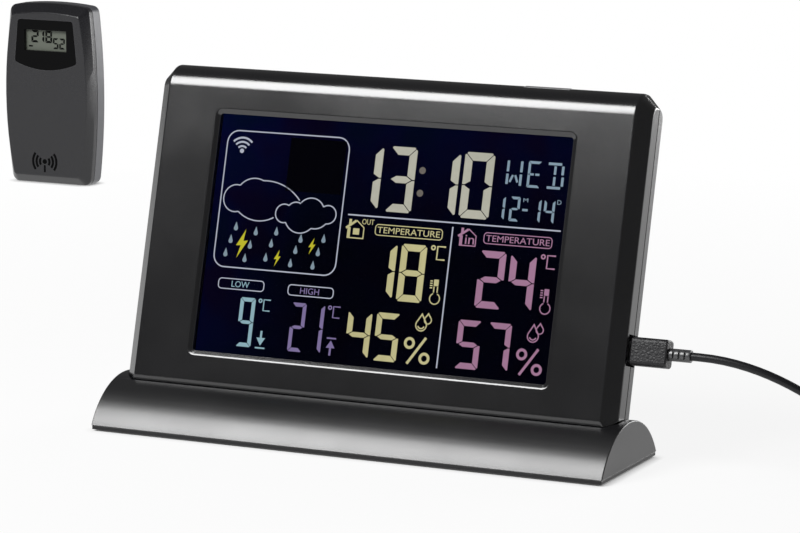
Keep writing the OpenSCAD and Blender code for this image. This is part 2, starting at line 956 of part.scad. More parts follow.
module main_board() {
    color([0.05, 0.35, 0.15])
        in_console()
            difference() {
                plate(board_w, board_at, board_t, board_lo, board_hi);
                for (place = board_places)
                    bar(place, small_screw[0] + screw_pass, board_at - over, board_back + over);
            }
}

module usb_board() {
    color([0.05, 0.35, 0.15])
        in_console()
            difference() {
                translate([usb_board_right - usb_board_w / 2, 0, 0])
                    plate(usb_board_w, usb_board_at, board_t, plug_v - usb_board_h / 2,
                        plug_v + usb_board_h / 2);
                for (place = usb_places)
                    bar(place, small_screw[0] + screw_pass, usb_board_at - over,
                        usb_board_at + board_t + over);
            }
}

module board_screws() {
    color("silver")
        in_console() {
            for (place = board_places)
                screw_backward(place, small_screw, board_at, rear_inner - pilot_skin);
            for (place = usb_places)
                screw_backward(place, small_screw, usb_board_at, rear_inner - pilot_skin);
        }
}

module controller_chip() {
    color([0.06, 0.06, 0.06])
        in_console()
            bar([0, board_lo + chip_rise], chip_r, board_back, board_back + chip_t);
}

module radio_module() {
    color("silver")
        in_console()
            translate([radio_u, 0, board_lo + chip_rise])
                plate(radio_w, board_back, radio_t, -radio_h / 2, radio_h / 2);
}

module antenna_wire() {
    color("goldenrod")
        in_console()
            translate([-antenna_l / 2, board_back + antenna_r, board_hi - antenna_drop])
                rotate([0, 90, 0])
                    cylinder(r = antenna_r, h = antenna_l);
}

module buzzer() {
    color([0.1, 0.1, 0.1])
        in_console()
            bar(buzzer_place, buzzer_r, board_back, rear_inner - inner_gap);
}

module climate_sensor() {
    color("white")
        in_console()
            translate([vent_u, 0, 0])
                plate(climate_w, board_back, climate_t, vent_levels[0], vent_levels[vent_count - 1]);
}

module top_switch() {
    top = button_base - press_gap;
    front = button_w_mid - top_switch_front;
    color([0.15, 0.15, 0.15])
        in_console()
            translate([button_u, 0, top - plunger_h]) {
                plate(switch_side, front, board_at - front, -top_switch_h, 0);
                translate([0, button_w_mid, -eps])
                    cylinder(r = plunger_r, h = plunger_h + eps);
            }
}

module key_switches() {
    top = key_base - press_gap;
    color([0.15, 0.15, 0.15])
        in_console()
            for (place = key_places) {
                translate([place[0], 0, place[1]])
                    plate(switch_side, board_back, top - stem_h - board_back, -switch_side / 2,
                        switch_side / 2);
                bar(place, stem_r, top - stem_h - eps, top);
            }
}

module usb_socket() {
    hollow_end = socket_front - shell_in - shell_spare;
    color("silver")
        in_console()
            difference() {
                translate([socket_front - socket_l, usb_w - socket_t / 2, plug_v - socket_h / 2])
                    cube([socket_l, socket_t, socket_h]);
                difference() {
                    translate([hollow_end, usb_w - shell_t / 2 - shell_gap,
                        plug_v - shell_h / 2 - shell_gap])
                        cube([socket_l, shell_t + 2 * shell_gap, shell_h + 2 * shell_gap]);
                    translate([hollow_end - eps, usb_w - tongue_t / 2, plug_v - tongue_h / 2])
                        cube([tongue_l, tongue_t, tongue_h]);
                }
            }
}

module battery_contacts() {
    color("silver")
        in_console()
            for (side = [-1, 1])
                translate([side * (bay_w / 2 - contact_t / 2), cell_axis, 0]) {
                    plate(contact_t, -contact_d / 2, contact_d, bay_lo + bay_play, bay_hi - bay_play);
                    for (level = cell_levels)
                        translate([-side * contact_t / 2, 0, level])
                            rotate([0, -90 * side, 0])
                                translate([0, 0, -eps])
                                    cylinder(r = nub_r, h = nub_l + eps);
                }
}

// One cell lying along an axis from its flat end, with its button at the other end
module cell() {
    cylinder(r = cell_r, h = cell_l - pole_l);
    translate([0, 0, cell_l - pole_l - eps])
        cylinder(r = pole_r, h = pole_l + eps);
}

module battery_cells() {
    color([0.25, 0.3, 0.35])
        in_console()
            for (k = [0:cell_count - 1])
                translate([0, cell_axis, cell_levels[k]])
                    rotate([0, k % 2 == 0 ? 90 : -90, 0])
                        translate([0, 0, -cell_l / 2])
                            cell();
}

module top_button() {
    color([0.6, 0.6, 0.6])
        in_console()
            translate([button_u, 0, 0]) {
                intersection() {
                    plate(button_l, button_w_mid - button_d / 2, button_d, button_base, button_top);
                    translate([-button_u, 0, 0])
                        console_block(-button_proud);
                }
                plate(button_l + 2 * button_flange_over, button_w_mid - button_d / 2,
                    button_d + button_flange_back, button_base, button_base + button_flange);
            }
}

module rear_key(index) {
    color([0.2, 0.2, 0.2])
        in_console() {
            bar(key_places[index], key_r, key_base, console_t + key_proud);
            bar(key_places[index], key_flange_r, key_base, key_base + key_flange);
        }
}

module key_mode() {
    rear_key(0);
}

module key_set() {
    rear_key(1);
}

module key_up() {
    rear_key(2);
}

module key_down() {
    rear_key(3);
}

module key_channel() {
    rear_key(4);
}

// The dome, set in by a wall, down to a height
module dome(inset, low) {
    intersection() {
        translate([-base_l / 2 + inset, 0, dome_z])
            rotate([0, 90, 0])
                cylinder(r = dome_r - inset, h = base_l - 2 * inset, $fn = dome_fn);
        translate([-far / 2, -far / 2, low])
            cube([far, far, far]);
    }
}

// Walls around the lug's slot, under the pocket's floor
module lug_block(grow, drop) {
    translate([0, lug_w_mid - lug_t / 2 - grow, 0])
        plate(lug_l + 2 * grow, 0, lug_t + 2 * grow, console_seat - lug_h - drop, console_seat + over);
}

// Anything that stands at each of the base's screws
module at_base_screws() {
    for (place = base_screw_places)
        translate([place[0], place[1], 0])
            children();
}

module base_shell() {
    color([0.25, 0.25, 0.26])
        difference() {
            union() {
                difference() {
                    dome(0, base_rim);
                    dome(base_wall, base_rim - over);
                }
                intersection() {
                    dome(eps, base_rim + inner_rim);
                    in_console() {
                        console_foot(-pocket_gap - floor_t);
                        lug_block(slide_gap + lug_wall, floor_gap + lug_wall);
                    }
                }
                intersection() {
                    dome(0, base_rim);
                    at_base_screws()
                        cylinder(r = base_boss_r, h = base_h);
                }
            }
            in_console() {
                console_foot(-pocket_gap);
                lug_block(slide_gap, floor_gap);
            }
            at_base_screws()
                cylinder(r = case_screw[0] + screw_fit, h = base_rim + base_screw_l);
        }
}

module base_plate() {
    color([0.1, 0.1, 0.1])
        difference() {
            translate([-base_l / 2 + plate_gap, -base_d / 2 + plate_gap, mat_t])
                cube([base_l - 2 * plate_gap, base_d - 2 * plate_gap, plate_t]);
            at_base_screws() {
                cylinder(r = case_screw[0] + head_pass, h = base_rim + over);
                cylinder(r = base_head_r + head_pass, h = base_head_at + base_head);
            }
        }
}

module base_mat() {
    color([0.05, 0.05, 0.05])
        translate([-mat_half, -base_d / 2 + mat_inset, 0])
            cube([2 * mat_half, base_d - 2 * mat_inset, mat_t]);
}

module base_screws() {
    color("silver")
        at_base_screws()
            translate([0, 0, base_head_at]) {
                cylinder(r = base_head_r, h = base_head);
                cylinder(r = case_screw[0], h = base_rim + base_screw_l - base_head_at - pilot_spare);
            }
}

// A rectangle with round corners, from squares and circles
module round_rect(width, height, radius) {
    square([width - 2 * radius, height], center = true);
    square([width, height - 2 * radius], center = true);
    for (x = [-1, 1], y = [-1, 1])
        translate([x * (width / 2 - radius), y * (height / 2 - radius)])
            circle(r = radius);
}

// Anything drawn around the plug's axis, from a place along it
module along_plug(from) {
    in_console()
        translate([from, usb_w, plug_v])
            rotate([90, 0, 90])
                children();
}

module plug_body() {
    color([0.12, 0.12, 0.12])
        along_plug(plug_face)
            linear_extrude(plug_l)
                round_rect(plug_t, plug_h, plug_round);
}

module plug_shell() {
    tip = socket_front - shell_in;
    color("silver")
        along_plug(tip)
            difference() {
                linear_extrude(plug_face - tip)
                    square([shell_t, shell_h], center = true);
                translate([0, 0, -over])
                    linear_extrude(shell_in + shell_hollow)
                        square([shell_t - 2 * shell_wall, shell_h - 2 * shell_wall], center = true);
            }
}

module strain_relief() {
    cut_deep = notch_deep + over;
    cut_x = relief_r - notch_deep + cut_deep / 2;
    color([0.12, 0.12, 0.12])
        along_plug(plug_face + plug_l)
            difference() {
                cylinder(r = relief_r, h = relief_l);
                for (place = notch_places, side = [-1, 1])
                    translate([side * cut_x, 0, place + notch_w / 2])
                        cube([cut_deep, 2 * (relief_r - notch_side), notch_w], center = true);
            }
}

// Points of the coil: layers that wind in and out in turn, with a climb of half a turn between them
function layer_of(a) = min(floor(a / layer_cycle), coil_layers - 1);
function layer_rest(a) = a - layer_of(a) * layer_cycle;
function inward(a) = layer_of(a) % 2 == 0;
function wound(a) = min(layer_rest(a), layer_angle) * coil_pitch / 360;
function coil_r(a) = inward(a) ? coil_out - wound(a) : coil_in + wound(a);
function climbed(a) = max(layer_rest(a) - layer_angle, 0) / climb_angle;
function coil_point(a) = [
    coil_x + coil_r(a) * cos(a),
    coil_y + coil_r(a) * sin(a),
    coil_z + coil_step * (layer_of(a) + climbed(a))
];
coil_turn = 360 / coil_rings;
coil_route = concat([coil_entry], [for (a = [0:coil_turn:coil_angle]) coil_point(a)], [coil_exit]);

// A free stretch between two points, which leaves towards q and arrives from r
function bend(p, q, r, s, t) = pow(1 - t, 3) * p + 3 * t * pow(1 - t, 2) * q
    + 3 * t * t * (1 - t) * r + pow(t, 3) * s;
function free_run(p, q, r, s) = [for (i = [0:run_steps]) bend(p, q, r, s, i / run_steps)];
cable_route = concat(
    [cable_start],
    free_run(cable_from, cable_from + [lead_reach, 0, 0], cable_to - [0, lead_land, 0], cable_to),
    [coil_entry]
);
tail_route = concat(
    [coil_exit],
    free_run(tail_from, tail_from + [0, tail_ease, 0], tail_to - [0, tail_ease, 0], tail_to),
    [tail_end]
);

// A round tube along a route: one ring of points for each point of the route
function unit(v) = v / norm(v);
function heading(route, i) = unit(route[min(i + 1, len(route) - 1)] - route[max(i - 1, 0)]);
function across(t) = unit(cross(t, [0, 0, 1]));
function ring(route, i, r, sides) = [for (k = [0:sides - 1])
    let (t = heading(route, i), s = across(t), u = cross(s, t))
    route[i] + r * (cos(360 * k / sides) * s + sin(360 * k / sides) * u)];

module tube(route, r, sides) {
    n = len(route);
    points = [for (i = [0:n - 1]) each ring(route, i, r, sides)];
    skin = [for (i = [0:n - 2], k = [0:sides - 1])
        let (a = i * sides + k, b = i * sides + (k + 1) % sides)
        each [[a, b, b + sides], [a, b + sides, a + sides]]];
    first = [for (k = [1:sides - 2]) [0, k + 1, k]];
    last = [for (k = [1:sides - 2]) [(n - 1) * sides, (n - 1) * sides + k, (n - 1) * sides + k + 1]];
    polyhedron(points = points, faces = concat(skin, first, last));
}

module lead_cable() {
    color([0.12, 0.12, 0.12])
        tube(cable_route, cable_r, tube_sides);
}

module lead_coil() {
    color([0.12, 0.12, 0.12])
        tube(coil_route, cable_r, coil_sides);
}

module coil_tie() {
    inner = coil_in - cable_r - coil_gap;
    outer = coil_out + cable_r + coil_gap;
    top = tail_z + cable_r + coil_gap;
    color([0.08, 0.08, 0.08])
        translate([coil_x - tie_w / 2, coil_y, 0])
            difference() {
                translate([0, inner - tie_t, 0])
                    cube([tie_w, outer - inner + 2 * tie_t, top + tie_t]);
                translate([-over, inner, tie_t])
                    cube([tie_w + 2 * over, outer - inner, top - tie_t]);
            }
}

module lead_tail() {
    color([0.12, 0.12, 0.12])
        tube(tail_route, cable_r, tube_sides);
}

// Anything drawn around the far plug's axis, from a place along it
module along_far_plug(from) {
    translate([tail_x, from, far_z])
        rotate([-90, 0, 0])
            children();
}

module far_plug_body() {
    color([0.12, 0.12, 0.12])
        along_far_plug(far_y)
            linear_extrude(far_plug_l)
                round_rect(far_plug_w, far_plug_h, plug_round);
}

module far_plug_shell() {
    inset = 2 * far_shell_wall;
    color("silver")
        along_far_plug(far_y + far_plug_l)
            linear_extrude(far_shell_l)
                difference() {
                    square([far_shell_w, far_shell_h], center = true);
                    square([far_shell_w - inset, far_shell_h - inset], center = true);
                }
}

module far_plug_insert() {
    insert_w = far_shell_w - 2 * (far_shell_wall + fit);
    color("white")
        along_far_plug(far_y + far_plug_l)
            translate([-insert_w / 2, far_shell_h / 2 - far_shell_wall - fit - far_insert_t, 0])
                cube([insert_w, far_insert_t, far_shell_l - far_insert_set]);
}

// The sensor's barrel outline, set in by a distance, with its sides bulging further by another
function barrel(z, bulge) = sensor_neck / 2
    + ((sensor_w - sensor_neck) / 2 + bulge) * (1 - pow((z - sensor_h / 2) / (sensor_h / 2), 2));
function sensor_side(inset, bulge, sgn) = [for (i = [0:sensor_steps])
    let (low = inset, high = sensor_h - sensor_crown - inset, z = low + (high - low) * i / sensor_steps)
    [sgn * (barrel(z, bulge) - inset), z]];
function sensor_top(inset, bulge) = [for (i = [1:sensor_steps - 1])
    let (high = sensor_h - sensor_crown - inset, half = barrel(high, bulge) - inset)
    let (x = half * (1 - 2 * i / sensor_steps))
    [x, high + sensor_crown * (1 - pow(x / half, 2))]];
function reversed(list) = [for (i = [len(list) - 1:-1:0]) list[i]];

// The arc that rounds a corner between the edges to the points before and after it
function unit(v) = v / norm(v);
function corner_arc(p, before, after, r) =
    let (a = unit(before - p), b = unit(after - p), half = acos(a * b) / 2)
    let (middle = p + unit(a + b) * r / sin(half))
    let (s = p + a * r / tan(half) - middle, e = p + b * r / tan(half) - middle)
    let (start = atan2(s[1], s[0]), turn = atan2(s[0] * e[1] - s[1] * e[0], s * e))
    [for (i = [0:corner_steps])
        let (angle = start + turn * i / corner_steps)
        middle + r * [cos(angle), sin(angle)]];

function sensor_outline(inset, bulge) =
    let (right = sensor_side(inset, bulge, 1), left = reversed(sensor_side(inset, bulge, -1)))
    let (top = sensor_top(inset, bulge), n = sensor_steps)
    let (r = max(sensor_round - inset / 2, sensor_least_round))
    concat(corner_arc(right[0], left[n], right[1], r), [for (i = [1:n - 1]) right[i]],
        corner_arc(right[n], right[n - 1], top[1], r), [for (i = [1:n - 3]) top[i]],
        corner_arc(left[0], top[n - 3], left[1], r), [for (i = [1:n - 1]) left[i]],
        corner_arc(left[n], left[n - 1], right[0], r));

module sensor_slab(inset, from, to, bulge = 0) {
    translate([0, to, 0])
        rotate([90, 0, 0])
            linear_extrude(to - from)
                polygon(sensor_outline(inset, bulge));
}

// The window's outline: a straight top, slanting sides and a bowed lower edge
function pane_bow(grow) = [for (i = [0:pane_steps])
    let (half = pane_low_w / 2 + grow, x = half * (2 * i / pane_steps - 1))
    [x, pane_side - grow - (pane_side - pane_low) * (1 - pow(x / half, 2))]];
function pane_outline(grow) =
    let (bow = pane_bow(grow), n = pane_steps, half = pane_top_w / 2 + grow, top = pane_top + grow)
    let (right = [half, top], left = [-half, top], r = pane_round + grow)
    concat(corner_arc(bow[0], left, bow[1], r), [for (i = [1:n - 1]) bow[i]],
        corner_arc(bow[n], bow[n - 1], right, r), corner_arc(right, bow[n], left, r),
        corner_arc(left, right, bow[0], r));

module pane_slab(grow, from, to) {
    translate([0, to, 0])
        rotate([90, 0, 0])
            linear_extrude(to - from)
                polygon(pane_outline(grow));
}

module sensor_front() {
    color([0.3, 0.3, 0.31])
        in_sensor()
            difference() {
                union() {
                    hull() {
                        sensor_slab(0, sensor_bevel_d, sensor_bevel_d + eps);
                        sensor_slab(sensor_bevel, 0, eps, sensor_bulge);
                    }
                    sensor_slab(0, sensor_bevel_d, sensor_parting - sensor_seam / 2);
                }
                difference() {
                    union() {
                        sensor_slab(sensor_bevel + sensor_wall, sensor_wall, sensor_parting);
                        sensor_slab(sensor_wall, sensor_bevel_d, sensor_parting);
                    }
                    for (place = sensor_screw_places)
                        bar(place, boss_r, 0, sensor_parting);
                }
                sensor_slab(sensor_wall - sensor_lip_t - fit, sensor_parting - sensor_lip_h - fit,
                    sensor_parting);
                pane_slab(fit, -over, pane_t);
                plate(sensor_lcd_w, -over, sensor_wall + 2 * over, sensor_lcd_lo, sensor_lcd_hi);
                for (place = sensor_screw_places)
                    bar(place, case_screw[0] + screw_fit, sensor_wall + sensor_screw_skin,
                        sensor_parting + over);
            }
}

module sensor_rear() {
    bay_front = sensor_bay_floor - bay_floor_t;
    back_from = sensor_d - sensor_rear_bevel_d;
    color([0.55, 0.55, 0.56])
        in_sensor()
            difference() {
                union() {
                    difference() {
                        union() {
                            sensor_slab(0, sensor_parting + sensor_seam / 2, back_from);
                            hull() {
                                sensor_slab(0, back_from - eps, back_from);
                                sensor_slab(sensor_rear_bevel, sensor_d - eps, sensor_d);
                            }
                            sensor_slab(sensor_wall - sensor_lip_t, sensor_parting - sensor_lip_h,
                                back_from);
                        }
                        sensor_slab(sensor_wall, 0, back_from);
                        sensor_slab(sensor_wall + sensor_rear_bevel, 0, sensor_cavity_back);
                    }
                    plate(sensor_bay_w + 2 * sensor_bay_wall, bay_front, sensor_door_at - bay_front,
                        sensor_bay_lo - sensor_bay_wall, sensor_bay_hi + sensor_bay_wall);
                    plate(sensor_door_w + 2 * sensor_bay_wall, sensor_door_at - sensor_seat_t,
                        sensor_seat_t, sensor_door_lo - sensor_bay_wall, sensor_door_hi + sensor_bay_wall);
                    for (x = [-1, 1], level = sensor_post_levels)
                        bar([x * sensor_post_x, level], sensor_post_r, sensor_board_back,
                            sensor_cavity_back + eps);
                    for (place = sensor_screw_places)
                        bar(place, post_r, sensor_parting, sensor_cavity_back + eps);
                }
                plate(sensor_bay_w, sensor_bay_floor, sensor_d, sensor_bay_lo, sensor_bay_hi);
                plate(sensor_door_w, sensor_door_at, sensor_d, sensor_door_lo, sensor_door_hi);
                for (place = sensor_screw_places) {
                    bar(place, case_screw[0] + head_pass, sensor_parting - over, sensor_d + over);
                    bar(place, case_screw[1] + head_pass, sensor_head_seat, sensor_d + over);
                }
                bar([0, sensor_h - hang_drop], hang_r, sensor_cavity_back - over, sensor_d + over);
                for (level = sensor_vents)
                    plate(sensor_vent_w, sensor_cavity_back - over, sensor_wall + 2 * over, level,
                        level + sensor_vent_h);
            }
}

module sensor_window() {
    color([0.03, 0.03, 0.03])
        in_sensor()
            difference() {
                pane_slab(0, 0, pane_t);
                plate(sensor_lcd_w, -over, pane_t + 2 * over, sensor_lcd_lo, sensor_lcd_hi);
            }
}

module sensor_lcd() {
    color([0.6, 0.63, 0.55])
        in_sensor()
            plate(sensor_lcd_w + 2 * sensor_lcd_rim, sensor_lcd_at, sensor_lcd_t,
                sensor_lcd_lo - sensor_lcd_rim, sensor_lcd_hi + sensor_lcd_rim);
}

module sensor_strip() {
    from = sensor_lcd_at + sensor_lcd_t;
    color([0.7, 0.7, 0.75])
        in_sensor()
            for (level = [sensor_lcd_lo, sensor_lcd_hi])
                plate(sensor_board_w - 2 * sensor_strip_inset, from, sensor_board_at - from,
                    level - sensor_strip_h / 2, level + sensor_strip_h / 2);
}

module sensor_board() {
    color([0.05, 0.35, 0.15])
        in_sensor()
            plate(sensor_board_w, sensor_board_at, sensor_board_t, sensor_board_lo, sensor_board_hi);
}

module sensor_probe() {
    color("white")
        in_sensor()
            plate(probe_side, sensor_board_back, probe_t, probe_z - probe_side / 2,
                probe_z + probe_side / 2);
}

module sensor_antenna() {
    color("goldenrod")
        in_sensor()
            translate([-sensor_antenna_l / 2, sensor_board_back + antenna_r,
                sensor_board_hi - sensor_antenna_drop])
                rotate([0, 90, 0])
                    cylinder(r = antenna_r, h = sensor_antenna_l);
}

module sensor_cells() {
    color([0.25, 0.3, 0.35])
        in_sensor()
            for (side = [-1, 1])
                translate([side * cell_pitch / 2, sensor_cell_y, sensor_cell_z])
                    rotate([side > 0 ? 0 : 180, 0, 0])
                        translate([0, 0, -cell_l / 2])
                            cell();
}

module sensor_contacts() {
    reach = cell_l / 2 + contact_room - contact_t / 2;
    color("silver")
        in_sensor()
            for (end = [-1, 1])
                translate([0, sensor_cell_y, sensor_cell_z + end * reach]) {
                    plate(sensor_bay_w - sensor_contact_play, -contact_d / 2, contact_d, -contact_t / 2,
                        contact_t / 2);
                    for (side = [-1, 1])
                        translate([side * cell_pitch / 2, 0, 0])
                            rotate([end > 0 ? 180 : 0, 0, 0])
                                translate([0, 0, contact_t / 2 - eps])
                                    cylinder(r = nub_r, h = nub_l + eps);
                }
}

module sensor_door() {
    rim_x = sensor_bay_w / 2 - slide_gap - door_rim_t / 2;
    front = sensor_door_at + fit;
    color([0.55, 0.55, 0.56])
        in_sensor() {
            plate(sensor_door_w - 2 * slide_gap, front, door_t - fit, sensor_door_lo + slide_gap,
                sensor_door_hi - slide_gap);
            for (side = [-1, 1])
                translate([side * rim_x, 0, 0])
                    plate(door_rim_t, front - door_rim_h, door_rim_h + eps, sensor_bay_lo + door_rim_inset,
                        sensor_bay_hi - door_rim_inset);
        }
}

module sensor_screws() {
    color("dimgray")
        in_sensor()
            for (place = sensor_screw_places)
                screw_forward(place, case_screw, sensor_head_seat, sensor_screw_end);
}

base_shell();
base_plate();
base_mat();
base_screws();
front_housing();
rear_housing();
housing_screws();
battery_door();
display_lens();
lens_gasket();
lcd_panel();
light_guide();
reflector_sheet();
backlight_leds();
lcd_frame();
frame_screws();
contact_strip();
main_board();
usb_board();
board_screws();
controller_chip();
radio_module();
antenna_wire();
buzzer();
climate_sensor();
top_switch();
key_switches();
usb_socket();
battery_contacts();
battery_cells();
top_button();
key_mode();
key_set();
key_up();
key_down();
key_channel();
plug_body();
plug_shell();
strain_relief();
lead_cable();
lead_coil();
coil_tie();
lead_tail();
far_plug_body();
far_plug_shell();
far_plug_insert();
sensor_front();
sensor_rear();
sensor_window();
sensor_lcd();
sensor_strip();
sensor_board();
sensor_probe();
sensor_antenna();
sensor_cells();
sensor_contacts();
sensor_door();
sensor_screws();
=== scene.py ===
"""Looks of a home weather station: leaning console, domed base, supply lead and remote sensor."""

import math

import bpy
import numpy as np
from bpy.props import FloatProperty, FloatVectorProperty, PointerProperty
from mathutils import Matrix, Quaternion, Vector


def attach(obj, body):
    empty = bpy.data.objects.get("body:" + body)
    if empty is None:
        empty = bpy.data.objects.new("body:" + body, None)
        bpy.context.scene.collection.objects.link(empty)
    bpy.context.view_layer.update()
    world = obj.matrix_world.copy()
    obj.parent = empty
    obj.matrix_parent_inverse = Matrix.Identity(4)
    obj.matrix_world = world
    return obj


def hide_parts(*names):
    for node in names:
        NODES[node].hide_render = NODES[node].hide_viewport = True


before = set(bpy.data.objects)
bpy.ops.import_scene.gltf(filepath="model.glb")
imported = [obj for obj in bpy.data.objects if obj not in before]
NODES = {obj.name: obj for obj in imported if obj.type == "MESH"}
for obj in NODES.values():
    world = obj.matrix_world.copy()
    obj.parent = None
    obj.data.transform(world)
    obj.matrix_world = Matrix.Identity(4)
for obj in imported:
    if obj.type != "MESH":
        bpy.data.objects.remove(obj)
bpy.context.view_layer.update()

bl_info = {
    "name": "Home weather station",
    "version": (1, 0, 0),
    "blender": (4, 5, 0),
    "location": "3D View > Sidebar > Station",
    "description": "Dresses the packed weather station with its finishes, its display and its lead",
    "category": "Object",
}

MM = 0.001

# The console's leaning face: the foot of its front, the way up it and the way into it
LEAN = math.radians(15.4)
FOOT = Vector((0, -0.0132, 0))
UP = Vector((0, math.sin(LEAN), math.cos(LEAN)))
BACK = Vector((0, math.cos(LEAN), -math.sin(LEAN)))

# The remote sensor's place
SENSOR = Vector((-0.423, 0.486, 0))

# How the edges of a moulded piece are found and rounded: points this near are one, faces that turn by less
# are one flat face, an edge turns by this many degrees or more and lies this near the outside, two normals
# that add up to less have no mean, and a turn of less than the last is shaded smooth. An edge on a parting
# line gets a share of the rounding.
MERGE_DISTANCE = 1e-6
FLAT_TURN = math.radians(0.4)
EDGE_TURN = 22
EDGE_REACH = 3e-5
LEAST_NORMAL = 1e-6
SMOOTH_TURN = math.radians(32)
PARTING_SHARE = 0.33

# The rounding of the smaller pieces' edges in metres, and the shares of the console's own that the plate and
# the rear housing get
PLUG_EDGE = 0.0007
RELIEF_EDGE = 0.00025
TIE_EDGE = 0.0003
BUTTON_EDGE = 0.0003
KEY_EDGE = 0.0005
DOOR_EDGE = 0.0004
SENSOR_EDGE = 0.0005
SENSOR_DOOR_EDGE = 0.0003
PLATE_SHARE = 0.6
REAR_SHARE = 0.5


def shade(code):
    """A hex colour as linear values."""
    parts = [int(code[i:i + 2], 16) / 255 for i in (0, 2, 4)]
    return tuple(p / 12.92 if p <= 0.04045 else ((p + 0.055) / 1.055) ** 2.4 for p in parts)


def colour_prop(name, text, code):
    return FloatVectorProperty(name=name, description=text, default=shade(code), size=3, min=0, max=1,
                               subtype="COLOR")


def length_prop(name, text, value):
    return FloatProperty(name=name, description=text, default=value, min=0, unit="LENGTH", precision=5)


def factor_prop(name, text, value):
    return FloatProperty(name=name, description=text, default=value, min=0, max=1, subtype="FACTOR")


class ShellLook(bpy.types.PropertyGroup):
    """Finishes of the console and the base."""
    front: colour_prop("Front", "Plastic of the console's front", "101012")
    # Painted light: the back is a lighter grey than the front so that its sides, lit from behind, look
    # brighter
    rear: colour_prop("Rear", "Plastic of the console's back", "2a2a2d")
    dome: colour_prop("Dome", "Plastic of the base's dome", "121214")
    black: colour_prop("Black", "Black plastic of plates and plugs", "141416")
    edge: length_prop("Edge radius", "Rounding of the outer edges", 0.0004)
    sheen: factor_prop("Roughness", "Roughness of the satin plastic", 0.17)


class DisplayLook(bpy.types.PropertyGroup):
    """Colours of the lit display."""
    ground: colour_prop("Ground", "Unlit ground of the display", "020206")
    time: colour_prop("Time", "Clock digits", "b3b2a4")
    colon: colour_prop("Colon", "Dim colon of the clock", "6b6660")
    outdoor: colour_prop("Outdoor", "Outdoor readings", "beb889")
    indoor: colour_prop("Indoor", "Indoor readings", "a07793")
    low: colour_prop("Low", "Lowest reading", "8badb8")
    high: colour_prop("High", "Highest reading", "7b6e98")
    date: colour_prop("Date", "Weekday and date", "8398a8")
    line: colour_prop("Lines", "Frames, dividing lines and clouds", "b0b5c4")
    drop: colour_prop("Rain", "Rain drops", "8193a0")
    bolt: colour_prop("Lightning", "Lightning bolts", "bdb62f")


class LeadLook(bpy.types.PropertyGroup):
    """The supply lead."""
    jacket: colour_prop("Jacket", "Cable jacket", "19191c")
    diameter: length_prop("Diameter", "Diameter of the cable", 0.003)


class SensorLook(bpy.types.PropertyGroup):
    """Finishes of the remote sensor."""
    front: colour_prop("Front", "Front shell", "1c1c20")
    # Painted light: the rear shell is a lighter grey than the front to stand in for the grazing light on its
    # sides and back
    rear: colour_prop("Rear", "Rear shell", "4e4f55")
    pane: colour_prop("Pane", "Glossy window", "050506")
    glass: colour_prop("Glass", "Ground of the small display", "6d7268")


class StageLook(bpy.types.PropertyGroup):
    """Floor and light."""
    floor: colour_prop("Floor", "Studio floor", "f6f6f6")
    fill: factor_prop("Fill", "Strength of the light all round", 0.07)
    mirror: factor_prop("Mirrored white", "Share of the white surroundings that shiny surfaces show", 0.06)
    polish: factor_prop("Mirrored floor", "Share of the white floor that shiny surfaces show", 0.7)
    shadow: factor_prop("Lit floor", "Share of the floor's own white, which lifts its shadows", 0.89)
    key: FloatProperty(name="Key", description="Power of the front lamp", default=23, min=0, unit="POWER")
    rim: FloatProperty(name="Rim", description="Power of the lamp behind", default=14, min=0, unit="POWER")


def look(name):
    return getattr(bpy.context.scene, "station_" + name)


# Mesh helpers

def select_only(*pieces):
    bpy.ops.object.select_all(action="DESELECT")
    for piece in pieces:
        piece.select_set(True)
    bpy.context.view_layer.objects.active = pieces[0]


def new_object(name, data):
    piece = bpy.data.objects.new(name, data)
    bpy.context.scene.collection.objects.link(piece)
    select_only(piece)
    return piece


def put(piece, matrix):
    """Puts a piece in its place and moves the place into its mesh."""
    piece.matrix_world = matrix
    select_only(piece)
    bpy.ops.object.transform_apply(location=True, rotation=True, scale=True)
    return piece


def join(name, parts):
    select_only(*parts)
    if len(parts) > 1:
        bpy.ops.object.join()
    parts[0].name = name
    parts[0].data.name = name
    return parts[0]


def dress(piece, body, material, slot, *nodes):
    """Gives a finished piece its material and body, and hides the nodes that it stands for. The slot is not
    used.
    """
    piece.data.materials.clear()
    piece.data.materials.append(material)
    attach(piece, body)
    if nodes:
        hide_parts(*nodes)


def paint(material, *names):
    for name in names:
        mesh = NODES[name].data
        mesh.materials.clear()
        mesh.materials.append(material)


def apply_modifier(piece, kind, **values):
    select_only(piece)
    modifier = piece.modifiers.new(kind.title(), kind)
    for key, value in values.items():
        setattr(modifier, key, value)
    bpy.ops.object.modifier_apply(modifier=modifier.name)


def edge_table(mesh):
    """Index, middle, mean normal and turn in degrees of each edge that joins two faces."""
    points = np.array([v.co for v in mesh.vertices])
    normals = np.array([p.normal for p in mesh.polygons])
    faces = {}
    for polygon in mesh.polygons:
        for key in polygon.edge_keys:
            faces.setdefault(key, []).append(polygon.index)
    for edge in mesh.edges:
        pair = faces.get(edge.key, [])
        if len(pair) == 2:
            a = normals[pair[0]]
            b = normals[pair[1]]
            mean = a + b
            size = np.linalg.norm(mean)
            if size > LEAST_NORMAL:
                middle = (points[edge.vertices[0]] + points[edge.vertices[1]]) / 2
                turn = math.degrees(math.acos(max(-1, min(1, a @ b))))
                yield edge.index, middle, mean / size, turn


